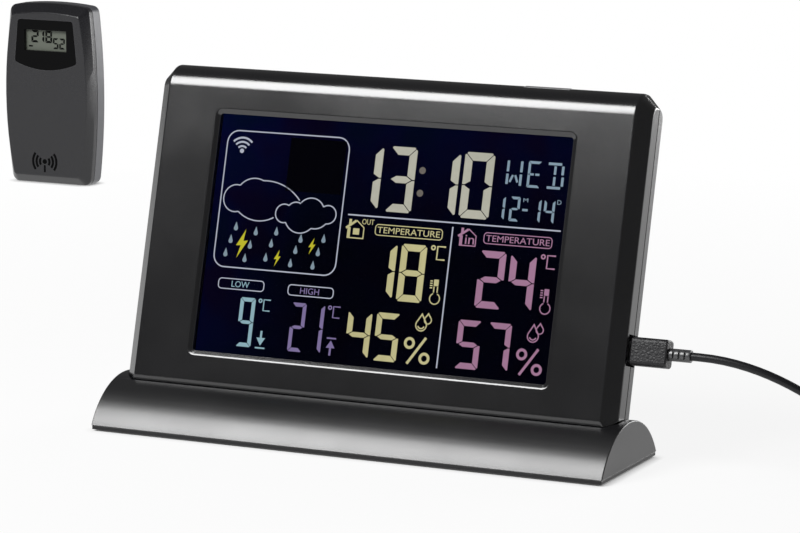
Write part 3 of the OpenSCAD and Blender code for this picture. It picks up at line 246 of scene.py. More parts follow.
def soften(source, name, width, extra=None, share=None):
    """A copy of a CAD node with its outer edges rounded: those that reach furthest out along their own
    normal, and those that extra picks. The part of the width that an edge gets is share's."""
    piece = new_object(name, NODES[source].data.copy())
    bpy.ops.object.mode_set(mode="EDIT")
    bpy.ops.mesh.select_all(action="SELECT")
    bpy.ops.mesh.remove_doubles(threshold=MERGE_DISTANCE)
    bpy.ops.mesh.customdata_custom_splitnormals_clear()
    bpy.ops.mesh.dissolve_limited(angle_limit=FLAT_TURN)
    bpy.ops.object.mode_set(mode="OBJECT")
    mesh = piece.data
    points = np.array([v.co for v in mesh.vertices])
    weights = np.zeros(len(mesh.edges), np.float32)
    for index, middle, normal, turn in edge_table(mesh):
        if turn < EDGE_TURN:
            continue
        outer = (points @ normal).max() - middle @ normal < EDGE_REACH
        if outer or (extra and extra(middle, normal)):
            weights[index] = share(middle) if share else 1
    mesh.attributes.new("bevel_weight_edge", "FLOAT", "EDGE").data.foreach_set("value", weights)
    apply_modifier(piece, "BEVEL", width=width, segments=3, limit_method="WEIGHT", use_clamp_overlap=False,
                   harden_normals=False)
    select_only(piece)
    bpy.ops.object.shade_smooth_by_angle(angle=SMOOTH_TURN)
    apply_modifier(piece, "WEIGHTED_NORMAL", weight=100, keep_sharp=True)
    return piece


def on_face(point):
    """Across, up the leaning face and into it, in mm."""
    offset = Vector(point) - FOOT
    return offset.x / MM, offset.dot(UP) / MM, offset.dot(BACK) / MM


def face_matrix(depth, across, rise):
    """Puts a flat drawing on the console's leaning face, at a depth behind it and moved along it, in mm."""
    origin = FOOT + (BACK * depth + Vector((across, 0, 0)) + UP * rise) * MM
    return Matrix([[(1, 0, 0)[i], UP[i], -BACK[i], origin[i]] for i in range(3)] + [[0, 0, 0, 1]])


def sensor_matrix(depth):
    """Puts a flat drawing on the sensor's front, at a depth behind it in mm."""
    origin = SENSOR + Vector((0, depth * MM, 0))
    return Matrix([[1, 0, 0, origin.x], [0, 0, -1, origin.y], [0, 1, 0, origin.z], [0, 0, 0, 1]])


# Flat drawings, in mm

INK = 0.06
LETTER_STEPS = 4


def drawing(loops):
    """A thin flat mesh from closed outlines. An outline inside another is a hole."""
    curve = bpy.data.curves.new("drawing", "CURVE")
    curve.dimensions = "2D"
    curve.fill_mode = "BOTH"
    curve.extrude = INK / 2 * MM
    for loop in loops:
        spline = curve.splines.new("POLY")
        spline.points.add(len(loop) - 1)
        for point, (x, y) in zip(spline.points, loop):
            point.co = (x * MM, y * MM, 0, 1)
        spline.use_cyclic_u = True
    new_object("drawing", curve)
    bpy.ops.object.convert(target="MESH")
    return bpy.context.object


def lettering(text, low, high):
    """Plain letters, stretched to fill a box."""
    bpy.ops.object.select_all(action="DESELECT")
    bpy.ops.object.text_add()
    piece = bpy.context.object
    piece.data.body = text
    piece.data.resolution_u = LETTER_STEPS
    bpy.ops.object.convert(target="MESH")
    piece = bpy.context.object
    points = np.array([v.co for v in piece.data.vertices])
    least = points.min(0)
    most = points.max(0)
    scale = [(high[i] - low[i]) / (most[i] - least[i]) * MM for i in (0, 1)]
    shift = [low[i] * MM - least[i] * scale[i] for i in (0, 1)]
    put(piece, Matrix([[scale[0], 0, 0, shift[0]],
                       [0, scale[1], 0, shift[1]],
                       [0, 0, MM, 0],
                       [0, 0, 0, 1]]))
    apply_modifier(piece, "SOLIDIFY", thickness=INK * MM, offset=0)
    return piece


def polar(x, y, r, degrees):
    """The point at a distance and an angle from x, y."""
    angle = math.radians(degrees)
    return x + r * math.cos(angle), y + r * math.sin(angle)


def sweep(x, y, r, low, high, count):
    """Points of an arc round x, y from one angle to another, in degrees."""
    return [polar(x, y, r, low + (high - low) * k / count) for k in range(count + 1)]


def circle(x, y, r, count=24):
    return [polar(x, y, r, 360 * k / count) for k in range(count)]


def ring(x, y, outer, inner):
    return [circle(x, y, outer), circle(x, y, inner)]


def round_box(x0, y0, x1, y1, r, count=6):
    corners = ((x1 - r, y1 - r, 0), (x0 + r, y1 - r, 90), (x0 + r, y0 + r, 180), (x1 - r, y0 + r, 270))
    return [point for x, y, a in corners for point in sweep(x, y, r, a, a + 90, count)]


def pill(x0, y0, x1, y1, r, line):
    """A frame with round corners and a line of a width."""
    return [round_box(x0, y0, x1, y1, r), round_box(x0 + line, y0 + line, x1 - line, y1 - line, r - line)]


def stroke(points, width):
    """The outline of a line of a width along some points."""
    left = []
    right = []
    for i, (x, y) in enumerate(points):
        ax, ay = points[max(i - 1, 0)]
        bx, by = points[min(i + 1, len(points) - 1)]
        size = math.hypot(bx - ax, by - ay)
        nx = -(by - ay) / size * width / 2
        ny = (bx - ax) / size * width / 2
        left.append((x + nx, y + ny))
        right.append((x - nx, y - ny))
    return left + right[::-1]


def lines(rows):
    """Straight lines, each from its two ends and its width."""
    return [stroke([(x0, y0), (x1, y1)], width) for x0, y0, x1, y1, width in rows]


def arc(start, middle, end, count=14):
    """Points of the arc through three points."""
    (ax, ay), (bx, by), (cx, cy) = start, middle, end
    d = 2 * (ax * (by - cy) + bx * (cy - ay) + cx * (ay - by))
    ox = ((ax**2 + ay**2) * (by - cy) + (bx**2 + by**2) * (cy - ay) + (cx**2 + cy**2) * (ay - by)) / d
    oy = ((ax**2 + ay**2) * (cx - bx) + (bx**2 + by**2) * (ax - cx) + (cx**2 + cy**2) * (bx - ax)) / d
    r = math.hypot(ax - ox, ay - oy)
    a0, a1, a2 = (math.atan2(y - oy, x - ox) for x, y in (start, middle, end))
    turn = (a2 - a0) % (2 * math.pi)
    if (a1 - a0) % (2 * math.pi) > turn:
        turn -= 2 * math.pi
    angles = [a0 + turn * k / count for k in range(count + 1)]
    return [(ox + r * math.cos(angle), oy + r * math.sin(angle)) for angle in angles]


def fan(x, y, r, width, low, high):
    """A band of an arc, from one angle to another."""
    return stroke(sweep(x, y, r, low, high, 12), width)


# The bars of a seven-bar sign that are lit. Its gaps are a length and a share of a bar's thickness, and the
# cut of its corners, the tip of its side bars and the half height of its middle bar are shares too.
LIT = {"0": "abcdef", "1": "bc", "2": "abged", "3": "abgcd", "4": "fgbc", "5": "afgcd", "7": "abc",
       "8": "abcdefg", "9": "abcdfg"}
BAR_GAP = 0.16
BAR_GAP_SHARE = 0.08
BAR_CUT = 0.35
BAR_TIP = 0.3
BAR_RIB = 0.42


def bars(lit, x0, y0, x1, y1, t):
    """The lit bars of a seven-bar sign in a box, with bars of a thickness, mitred corners and thin gaps."""
    gap = BAR_GAP + BAR_GAP_SHARE * t
    g = gap / 2
    cut = BAR_CUT * t
    tip = BAR_TIP * t
    rib = BAR_RIB * t
    mid = (y0 + y1) / 2
    loops = {"g": [(x0 + tip + gap, mid), (x0 + t + gap, mid + rib), (x1 - t - gap, mid + rib),
                   (x1 - tip - gap, mid), (x1 - t - gap, mid - rib), (x0 + t + gap, mid - rib)]}
    for name, y, level in (("a", y1, 1), ("d", y0, -1)):
        half = y - level * cut / 2
        loops[name] = [(x0 + cut, y), (x1 - cut, y), (x1 - cut / 2 - g, half), (x1 - t - g, y - level * t),
                       (x0 + t + g, y - level * t), (x0 + cut / 2 + g, half)]
    for name, x, y, side, level in (("b", x1, y1, -1, 1), ("f", x0, y1, 1, 1), ("c", x1, y0, -1, -1),
                                    ("e", x0, y0, 1, -1)):
        loops[name] = [(x, y - level * cut), (x + side * cut / 2, y - level * (cut / 2 + g)),
                       (x + side * t, y - level * (t + g)), (x + side * t, mid + level * (rib + g)),
                       (x + side * tip, mid + level * g), (x, mid + level * g)]
    return [loops[name] for name in lit]


def digits(rows):
    """Digits, each from its sign, its box and the thickness of its bars."""
    return [loop for sign, *place in rows for loop in bars(LIT[sign], *place)]


def celsius(x, y, size):
    """A degree ring and an open C with its top right corner at x, y."""
    left = x - size * 0.6
    line = size * 0.11
    top = y - line / 2
    foot = y - size + line / 2
    return [*ring(left - size * 0.32, y - size * 0.16, size * 0.18, size * 0.08),
            stroke([(x, top), (left, top), (left, foot), (x, foot)], line)]


def thermometer(x, y, size):
    """A small thermometer that stands at x, y."""
    bulb = 0.24 * size
    line = 0.046 * size
    left = x - 0.2 * size / 2
    right = x + 0.2 * size / 2
    full = y + 0.74 * size
    top = y + size
    neck = math.degrees(math.acos(0.2 * size / 2 / bulb))
    walls = (left + line / 2, right - line / 2)
    ticks = [y + (0.66 + 0.09 * k) * size for k in range(4)]
    return [fan(x, y + bulb, bulb - line / 2, line, 180 - neck, 360 + neck),
            [(left, full), (right, full), (right, top), (left, top)],
            *[stroke([(wall, y + 2 * bulb), (wall, y + 0.72 * size)], line) for wall in walls],
            *[stroke([(left - 0.16 * size, tick), (left - 0.05 * size, tick)], line) for tick in ticks]]


def drop_loop(x, y, r, tip):
    """A drop's outline: a round foot and a tip above."""
    a = math.degrees(math.acos(r / (tip - y)))
    return [*sweep(x, y, r, 90 - a, a - 270, 20), (x, tip)]


def drop_outline(x, y, r, tip, line):
    return [drop_loop(x, y, r, tip), drop_loop(x, y, r - line, tip - 2.2 * line)]


def bolt(x, y, w, h):
    """A lightning bolt centred at x, y."""
    shape = ((0.3, 1), (-0.6, -0.14), (-0.1, -0.12), (-0.42, -1), (0.62, 0.24), (0.14, 0.2))
    return [(x + px * w, y + py * h / 2) for px, py in shape]


def arrow(x, foot, neck, tip):
    """An upright arrow at x, from its foot past its neck to its tip."""
    shaft = 0.4
    head = 1.8
    return [(x - shaft, foot), (x + shaft, foot), (x + shaft, neck), (x + head, neck), (x, tip),
            (x - head, neck), (x - shaft, neck)]


def percent(x, y, size):
    """A percent sign with its lower left corner at x, y."""
    r = 0.22 * size
    hole = 0.52 * r
    return [*ring(x + r, y + 0.76 * size, r, hole), *ring(x + 0.87 * size, y + 0.24 * size, r, hole),
            stroke([(x + 0.2 * size, y), (x + 0.86 * size, y + size)], 0.1 * size)]


def house(x, y, w, h):
    """Walls, roof and chimney of a small house, with its lower left corner at x, y."""
    t = 0.06 * w
    wall = x + w - t / 2
    return [[stroke([(x + 0.12 * w, y + 0.6 * h), (x + 0.12 * w, y)], 2.8 * t)],
            [stroke([(x + 0.05 * w, y + t / 2), (x + w, y + t / 2)], t)],
            [stroke([(wall, y), (wall, y + 0.62 * h), (x + 0.52 * w, y + h)], t)],
            [stroke([(x - 0.06 * w, y + 0.55 * h), (x + 0.5 * w, y + 0.98 * h)], 2.1 * t)],
            [stroke([(x + 0.16 * w, y + 0.7 * h), (x + 0.16 * w, y + 1.05 * h)], 2.4 * t)]]


# The display, in mm across and up the leaning face. A digit is its sign, its box from the lower left to the
# upper right and the thickness of its bars. A line is its two ends and its width. A word is its text and its
# box. A shift is how far a group's place is set right as a whole.

DISPLAY_DEPTH = 3.72
NO_SHIFT = (0, 0)
CLOCK_SHIFT = (-0.35, 0.4)
DATE_SHIFT = (-0.4, 0.7)
FORECAST_SHIFT = (-0.2, 0.1)
EXTREME_SHIFT = (-0.2, 0.15)
OUTDOOR_SHIFT = (-0.3, 0.4)
INDOOR_SHIFT = (-0.4, 0.7)

CLOCK = (("1", -14.9, 88.6, -3.6, 112.4, 3.1), ("3", -0.9, 88.4, 10.0, 112.7, 3.05),
         ("1", 16.0, 88.3, 27.6, 112.0, 3.1), ("0", 29.2, 88.3, 41.1, 112.6, 3.1))
COLON = ((12.8, 104.5, 1.3), (12.8, 96.1, 1.3))

WEEKDAY_FIRST = ((46.7, 106.2, 46.7, 110.2, 0.95), (46.7, 101.6, 46.7, 105.4, 0.95),
                 (52.0, 106.2, 52.0, 110.2, 0.95), (52.0, 101.3, 52.0, 105.4, 0.95),
                 (48.9, 105.0, 47.8, 102.4, 0.8), (49.8, 105.0, 50.9, 102.4, 0.8))
WEEKDAY_SECOND = ("afed", 54.6, 100.9, 59.8, 110.6, 0.95)
WEEKDAY_REST = ((55.4, 105.75, 57.0, 105.75, 0.8), (57.6, 105.75, 59.2, 105.75, 0.8),
                (62.4, 110.1, 67.6, 110.1, 0.95), (62.6, 101.4, 67.8, 101.4, 0.95),
                (68.2, 106.2, 68.2, 109.4, 0.95), (68.4, 102.1, 68.4, 105.4, 0.95),
                (65.2, 106.2, 65.2, 109.3, 0.9), (65.2, 102.2, 65.2, 105.4, 0.9))
DATE = (("1", 43.2, 88.4, 47.2, 97.0, 0.95), ("2", 49.1, 88.2, 53.0, 97.2, 0.95),
        ("1", 57.2, 88.3, 61.3, 96.9, 0.95), ("4", 62.5, 88.3, 66.7, 96.9, 0.95))
DATE_DASH = ((54.1, 92.6, 56.2, 92.6, 0.85),)
DATE_WORDS = (("M", (54.1, 95.5), (56.0, 96.9)), ("D", (67.4, 95.5), (69.0, 97.1)))

UNLIT_FIELD = ((-42.5, 93.6), (-19.4, 93.6), (-19.4, 113.6), (-42.5, 113.6))
DIVIDERS = ((-15.5, 86.6, 69.6, 86.7, 0.5), (27.2, 85.1, 27.2, 33.2, 0.5))
FORECAST_FRAME = (-69.0, 63.0, -17.7, 115.0, 4.8, 0.46)
SIGNAL_DOT = (-62.3, 107.2, 0.85)
SIGNAL_FOOT = (-62.3, 106.7)
SIGNAL_RADII = (2.3, 3.9, 5.5)
SIGNAL_BAND = (0.72, 45, 135)

# Each cloud is a row of arcs, given by the points where they meet and the crown of each
CLOUD_LINE = 0.42
BIG_CLOUD = ((-35.86, 90.26), (-43.6, 95.5), (-51.76, 96.58), (-56.6, 97.1), (-61.26, 94.23), (-67.6, 89.5),
             (-60.82, 84.38), (-53.2, 81.4), (-45.8, 83.09))
SMALL_CLOUD = ((-35.2, 89.1), (-37.5, 89.5), (-39.97, 88.04), (-45.2, 85.2), (-40.59, 81.64), (-36.4, 78.3),
               (-29.84, 80.2), (-26.6, 80.5), (-24.0, 82.34), (-20.2, 86.0), (-25.69, 88.55), (-30.4, 91.5),
               (-35.06, 89.52))
RAIN = ((-60.92, 78.51), (-62.52, 73.6), (-64.03, 68.43), (-52.41, 77.23), (-54.21, 72.05), (-55.77, 66.89),
        (-43.91, 77.81), (-45.48, 73.2), (-47.11, 67.78), (-33.54, 75.88), (-35.13, 71.55), (-36.62, 66.43),
        (-24.11, 76.54), (-25.77, 71.43), (-27.31, 66.32))
RAIN_FOOT = -0.5
RAIN_RADIUS = 0.85
RAIN_TIP = 2.0
BOLTS = ((-57.7, 72.4, 3.8, 10.8), (-42.3, 68.1, 2.15, 6.2), (-28.6, 73.6, 2.25, 6.2))

LABEL_LINE = (1.4, 0.34)
DROP_RADIUS = 2.35
DROP_LINE = 0.45
DROP_GLINT = (1.3, 0.5, 200, 340)
DROPLET_RADIUS = 1.6
DROPLET_LINE = 0.42
OUTDOOR = {
    "digits": (("1", -4.0, 56.3, 6.35, 76.8, 2.65), ("8", 8.1, 55.9, 18.3, 77.1, 2.55),
               ("4", -10.2, 33.6, -0.55, 50.8, 2.2), ("5", 1.4, 33.4, 10.9, 51.2, 2.2)),
    "celsius": (25.7, 77.4, 5.4),
    "thermometer": (23.5, 55.7, 9.3),
    "percent": (13.4, 33.4, 10.0),
    "house": (-15.0, 77.5, 7.1, 6.8),
    "windows": (((-12.4, 79.0), (-9.9, 79.0), (-9.9, 81.3), (-12.4, 81.3)),),
    "label": (-3.6, 79.3, 23.8, 83.6),
    "drop": (19.4, 47.9, 52.4),
    "droplet": (21.9, 49.9, 52.7),
}
OUTDOOR_WORDS = (("OUT", (-9.1, 83.0), (-4.2, 85.0)), ("TEMPERATURE", (-2.6, 80.3), (22.7, 82.6)))
INDOOR = {
    "digits": (("2", 39.6, 55.8, 50.0, 76.8, 2.55), ("4", 51.9, 56.0, 62.0, 76.4, 2.55),
               ("5", 34.3, 33.2, 43.6, 51.0, 2.2), ("7", 46.3, 33.5, 55.4, 51.0, 2.2)),
    "celsius": (69.3, 77.1, 5.3),
    "thermometer": (67.3, 55.4, 9.3),
    "percent": (58.2, 33.0, 9.8),
    "house": (30.5, 77.8, 6.9, 6.3),
    "windows": (),
    "label": (40.2, 79.2, 67.3, 83.5),
    "drop": (63.9, 47.3, 52.0),
    "droplet": (66.3, 49.7, 52.5),
}
INDOOR_WORDS = (("in", (33.0, 78.6), (36.6, 81.9)), ("TEMPERATURE", (41.2, 80.2), (66.3, 82.5)))

LOWEST = {
    "digits": (("9", -55.3, 34.0, -49.0, 52.4, 1.5),),
    "celsius": (-42.8, 52.4, 4.6),
    "arrow": (-45.1, 40.5, 37.9, 35.0),
    "stop": ((-47.1, 34.1, -43.1, 34.1, 0.55),),
}
LOWEST_WORDS = (("LOW", (-59.9, 55.9), (-52.5, 58.2)),)
HIGHEST = {
    "digits": (("2", -33.7, 34.0, -27.8, 52.2, 1.45), ("1", -26.2, 34.2, -20.15, 52.2, 1.45)),
    "celsius": (-13.9, 52.2, 4.6),
    "arrow": (-16.2, 33.8, 36.6, 39.4),
    "stop": ((-18.0, 40.2, -14.2, 40.2, 0.55),),
}
HIGHEST_WORDS = (("HIGH", (-31.2, 55.6), (-23.4, 57.9)),)
EXTREME_LABELS = ((-65.6, 54.9, -46.2, 59.1, 1.5, 0.36), (-36.4, 54.65, -17.4, 58.85, 1.5, 0.36))


def climate(place):
    """The temperature and the humidity of one place, with their signs."""
    x, y, tip = place["drop"]
    small_x, small_y, small_tip = place["droplet"]
    return [digits(place["digits"]), celsius(*place["celsius"]), thermometer(*place["thermometer"]),
            percent(*place["percent"]), *house(*place["house"]), *[[window] for window in place["windows"]],
            pill(*place["label"], *LABEL_LINE), drop_outline(x, y, DROP_RADIUS, tip, DROP_LINE),
            drop_outline(small_x, small_y, DROPLET_RADIUS, small_tip, DROPLET_LINE), [fan(x, y, *DROP_GLINT)]]


def extreme(place):
    """The lowest or the highest reading, with its arrow."""
    return [digits(place["digits"]), celsius(*place["celsius"]),
            [arrow(*place["arrow"]), *lines(place["stop"])]]


def cloud(points):
    """The arcs of a cloud, each a drawing of its own because they meet."""
    return [[stroke(arc(*points[k:k + 3]), CLOUD_LINE)] for k in range(0, len(points) - 1, 2)]


def lit_groups():
    """Each lit group's name, colour, shift, drawings and words."""
    weekday = [*lines(WEEKDAY_FIRST), *bars(*WEEKDAY_SECOND), *lines(WEEKDAY_REST)]
    date = [*digits(DATE), *lines(DATE_DASH)]
    signal = [circle(*SIGNAL_DOT), *[fan(*SIGNAL_FOOT, r, *SIGNAL_BAND) for r in SIGNAL_RADII]]
    forecast = [pill(*FORECAST_FRAME), signal, *cloud(BIG_CLOUD), *cloud(SMALL_CLOUD)]
    rain = [drop_loop(x, y + RAIN_FOOT, RAIN_RADIUS, y + RAIN_TIP) for x, y in RAIN]
    return (
        ("clock_digits", "time", CLOCK_SHIFT, [digits(CLOCK)], ()),
        ("clock_colon", "colon", CLOCK_SHIFT, [[circle(*dot) for dot in COLON]], ()),
        ("weekday_and_date", "date", DATE_SHIFT, [weekday, date], DATE_WORDS),
        ("unlit_field", "ground", NO_SHIFT, [[UNLIT_FIELD]], ()),
        ("forecast_signs", "line", FORECAST_SHIFT, forecast, ()),
        ("dividing_lines", "line", NO_SHIFT, [[line] for line in lines(DIVIDERS)], ()),
        ("rain_drops", "drop", FORECAST_SHIFT, [rain], ()),
        ("lightning_bolts", "bolt", FORECAST_SHIFT, [[bolt(*place) for place in BOLTS]], ()),
        ("outdoor_readings", "outdoor", OUTDOOR_SHIFT, climate(OUTDOOR), OUTDOOR_WORDS),
        ("indoor_readings", "indoor", INDOOR_SHIFT, climate(INDOOR), INDOOR_WORDS),
        ("low_reading", "low", EXTREME_SHIFT, extreme(LOWEST), LOWEST_WORDS),
        ("high_reading", "high", EXTREME_SHIFT, extreme(HIGHEST), HIGHEST_WORDS),
        ("reading_labels", "line", EXTREME_SHIFT, [pill(*label) for label in EXTREME_LABELS], ()),
    )


# Material helpers

def group(name, inputs, outputs):
    """A new shader node group with its sockets, its input node and its output node."""
    tree = bpy.data.node_groups.new(name, "ShaderNodeTree")
    for label, kind in inputs:
        tree.interface.new_socket(label, in_out="INPUT", socket_type="NodeSocket" + kind)
    for label, kind in outputs:
        tree.interface.new_socket(label, in_out="OUTPUT", socket_type="NodeSocket" + kind)
    return tree, tree.nodes.new("NodeGroupInput"), tree.nodes.new("NodeGroupOutput")


def node(tree, kind, values=(), **settings):
    """A new node with its settings and the values of its sockets."""
    made = tree.nodes.new("ShaderNode" + kind)
    for key, value in settings.items():
        setattr(made, key, value)
    for key, value in dict(values).items():
        made.inputs[key].default_value = value
    return made


def span(low, high, least, most):
    """The values of a Map Range node."""
    return {"From Min": low, "From Max": high, "To Min": least, "To Max": most}


def new_material(name):
    """A new material, its node tree and its shader."""
    material = bpy.data.materials.new(name)
    material.use_nodes = True
    return material, material.node_tree, material.node_tree.nodes["Principled BSDF"]


GRAIN_SHARE = 0.5
MOTTLE_SCALE = 34.0
MEAN_NOISE = 0.75
GLOSS_SPREAD = 0.1


def grain_group():
    """Moulded plastic: fine spark grain, broad mottling and uneven gloss."""
    name = "moulded grain"
    if name in bpy.data.node_groups:
        return bpy.data.node_groups[name]
    tree, given, out = group(
        name,
        (("Vector", "Vector"), ("Colour", "Color"), ("Roughness", "Float"), ("Grain", "Float"),
         ("Mottle", "Float")),
        (("Colour", "Color"), ("Roughness", "Float"), ("Height", "Float")))
    link = tree.links.new
    fine = node(tree, "TexNoise", {"Detail": 2.0, "Roughness": 0.6})
    broad = node(tree, "TexNoise", {"Scale": MOTTLE_SCALE, "Detail": 4.0})
    for noise in (fine, broad):
        link(given.outputs["Vector"], noise.inputs["Vector"])
    link(given.outputs["Grain"], fine.inputs["Scale"])
    both = node(tree, "Math", {1: GRAIN_SHARE}, operation="MULTIPLY_ADD")
    link(fine.outputs["Fac"], both.inputs[0])
    link(broad.outputs["Fac"], both.inputs[2])
    centred = node(tree, "Math", {1: MEAN_NOISE}, operation="SUBTRACT")
    link(both.outputs[0], centred.inputs[0])
    tone = node(tree, "Math", {2: 1.0}, operation="MULTIPLY_ADD")
    link(centred.outputs[0], tone.inputs[0])
    link(given.outputs["Mottle"], tone.inputs[1])
    scaled = node(tree, "VectorMath", operation="SCALE")
    link(given.outputs["Colour"], scaled.inputs[0])
    link(tone.outputs[0], scaled.inputs["Scale"])
    link(scaled.outputs[0], out.inputs["Colour"])
    gloss = node(tree, "Math", {1: GLOSS_SPREAD}, operation="MULTIPLY_ADD")
    link(centred.outputs[0], gloss.inputs[0])
    link(given.outputs["Roughness"], gloss.inputs[2])
    link(gloss.outputs[0], out.inputs["Roughness"])
    link(fine.outputs["Fac"], out.inputs["Height"])
    return tree


# Edges turn a lighter grey in patches, partly as wear and partly as painted sheen: the radius that finds the
# edges, the grey they turn to and the turn that counts as an edge
WEAR_AND_SHEEN_RADIUS = 0.0007
WEAR_AND_SHEEN_COLOUR = (0.22, 0.22, 0.23, 1)
WEAR_AND_SHEEN_TURN = span(0.995, 0.90, 0.0, 1.0)


def wear_and_sheen_group():
    """Edges lighter partly from wear and partly as painted sheen: a mask that rises where the surface turns
    sharply.
    """
    name = "rubbed edges"
    if name in bpy.data.node_groups:
        return bpy.data.node_groups[name]
    tree, given, out = group(name, (("Vector", "Vector"), ("Radius", "Float")), (("Mask", "Float"),))
    link = tree.links.new
    rounded = node(tree, "Bevel", samples=4)
    link(given.outputs["Radius"], rounded.inputs["Radius"])
    surface = node(tree, "NewGeometry")
    near = node(tree, "VectorMath", operation="DOT_PRODUCT")
    link(rounded.outputs["Normal"], near.inputs[0])
    link(surface.outputs["Normal"], near.inputs[1])
    worn_and_sheened = node(tree, "MapRange", WEAR_AND_SHEEN_TURN)
    link(near.outputs["Value"], worn_and_sheened.inputs["Value"])
    patch = node(tree, "TexNoise", {"Scale": 160.0, "Detail": 3.0})
    link(given.outputs["Vector"], patch.inputs["Vector"])
    mask = node(tree, "Math", operation="MULTIPLY")
    link(worn_and_sheened.outputs[0], mask.inputs[0])
    link(patch.outputs["Fac"], mask.inputs[1])
    link(mask.outputs[0], out.inputs["Mask"])
    return tree


FINISHES = {}
BUMP_HEIGHT = 0.0003

# The colour sockets of a Mix node
MIX_FIRST = 6
MIX_SECOND = 7
MIX_RESULT = 2


def finish(name, colour, rough, metal=0.0, grain=2600.0, mottle=0.35, bump=0.12, rub=0.0, spec=0.5,
           stretch=(1, 1, 1)):
    """A finish of moulded plastic, rubber or metal, kept for the pieces that share it."""
    if name in FINISHES:
        return FINISHES[name]
    material, tree, shader = new_material(name)
    link = tree.links.new
    shader.inputs["Metallic"].default_value = metal
    shader.inputs["Specular IOR Level"].default_value = spec
    place = node(tree, "TexCoord")
    turn = node(tree, "Mapping", {"Scale": stretch})
    link(place.outputs["Object"], turn.inputs["Vector"])
    values = {"Colour": (*colour, 1), "Roughness": rough, "Grain": grain, "Mottle": mottle}
    grained = node(tree, "Group", values, node_tree=grain_group())
    link(turn.outputs["Vector"], grained.inputs["Vector"])
    link(grained.outputs["Roughness"], shader.inputs["Roughness"])
    raised = node(tree, "Bump", {"Strength": bump, "Distance": BUMP_HEIGHT})
    link(grained.outputs["Height"], raised.inputs["Height"])
    link(raised.outputs["Normal"], shader.inputs["Normal"])
    surface = grained.outputs["Colour"]
    # Lighter edges: partly wear, partly painted sheen
    if rub:
        worn_and_sheened = node(tree, "Group", {"Radius": WEAR_AND_SHEEN_RADIUS}, node_tree=wear_and_sheen_group())
        link(place.outputs["Object"], worn_and_sheened.inputs["Vector"])
        part = node(tree, "Math", {1: rub}, operation="MULTIPLY")
        link(worn_and_sheened.outputs["Mask"], part.inputs[0])
        mixed = node(tree, "Mix", data_type="RGBA")
        link(part.outputs[0], mixed.inputs["Factor"])
        link(surface, mixed.inputs[MIX_FIRST])
        mixed.inputs[MIX_SECOND].default_value = WEAR_AND_SHEEN_COLOUR
        surface = mixed.outputs[MIX_RESULT]
    link(surface, shader.inputs["Base Color"])
    FINISHES[name] = material
    return material


def plain_finish(kind):
    """The finishes of small and inner pieces."""
    black = tuple(look("shell").black)
    table = {
        "black_plastic": (black, 0.46, {"grain": 2200.0, "bump": 0.15}),
        "mat_rubber": ((0.012, 0.012, 0.012), 0.85, {"grain": 1500.0, "bump": 0.5, "mottle": 0.6}),
        "steel": ((0.56, 0.57, 0.58), 0.3,
                  {"metal": 1.0, "grain": 900.0, "bump": 0.05, "stretch": (1, 1, 12)}),
        "white_plastic": ((0.62, 0.61, 0.58), 0.5, {"grain": 1800.0, "mottle": 0.15}),
        "elastomer": ((0.42, 0.43, 0.46), 0.7, {"grain": 1400.0, "mottle": 0.9, "stretch": (3, 1, 1)}),
        "brass_wire": ((0.72, 0.5, 0.2), 0.28, {"metal": 1.0, "stretch": (0.1, 1, 1)}),
        "relief_rubber": ((0.055, 0.055, 0.058), 0.3, {"grain": 1300.0, "spec": 1.0}),
        # Painted highlight: the dark button is made light grey to stand in for the light on its top
        "button_plastic": ((0.2, 0.2, 0.205), 0.4, {"rub": 0.3}),
        "key_plastic": ((0.03, 0.03, 0.032), 0.55, {"grain": 1800.0, "rub": 0.3}),
        "cell_case": ((0.05, 0.07, 0.09), 0.3, {"grain": 700.0, "mottle": 0.2, "spec": 0.6}),
        "guide": ((0.72, 0.76, 0.8), 0.12, {"grain": 300.0, "mottle": 0.1}),
        "dark_ink": ((0.002, 0.002, 0.0022), 0.6, {"grain": 1500.0, "mottle": 0.3, "spec": 0.05}),
    }
    colour, rough, more = table[kind]
    return finish(kind, colour, rough, **more)


def lit_finish(name, colour):
    """Glowing segments: a colour with faint unevenness of the light behind them."""
    material, tree, shader = new_material(name)
    shader.inputs["Base Color"].default_value = (0, 0, 0, 1)
    shader.inputs["Specular IOR Level"].default_value = 0.0
    shader.inputs["Emission Strength"].default_value = 1.0
    place = node(tree, "TexCoord")
    values = {"Colour": (*colour, 1), "Roughness": 0.5, "Grain": 420.0, "Mottle": 0.32}
    glow = node(tree, "Group", values, node_tree=grain_group())
    tree.links.new(place.outputs["Object"], glow.inputs["Vector"])
    tree.links.new(glow.outputs["Colour"], shader.inputs["Emission Color"])
    tree.links.new(glow.outputs["Roughness"], shader.inputs["Roughness"])
    return material


LENS_TINT = (0.01, 0.01, 0.012)
LENS_ALPHA = 0.02


def lens_finish():
    """Clear plastic: nearly all see-through, with a faint uneven polish."""
    material = finish("clear_lens", LENS_TINT, rough=0.05, grain=60.0, mottle=0.05, bump=0.0)
    material.node_tree.nodes["Principled BSDF"].inputs["Alpha"].default_value = LENS_ALPHA
    return material


GLASS_TINT = (0.0002, 0.0002, 0.0006)
GLOW_LEFTWARDS = span(-0.03, -0.074, 0.3, 1.7)
GLOW_UPWARDS = span(0.07, 0.115, 0.0, 1.3)
GHOSTS = ((0.35, (0.0001, 0.0009, 0.0058, 1)),
          (0.5, (0.0003, 0.0006, 0.0078, 1)),
          (0.66, (0.0009, 0.0003, 0.0050, 1)))


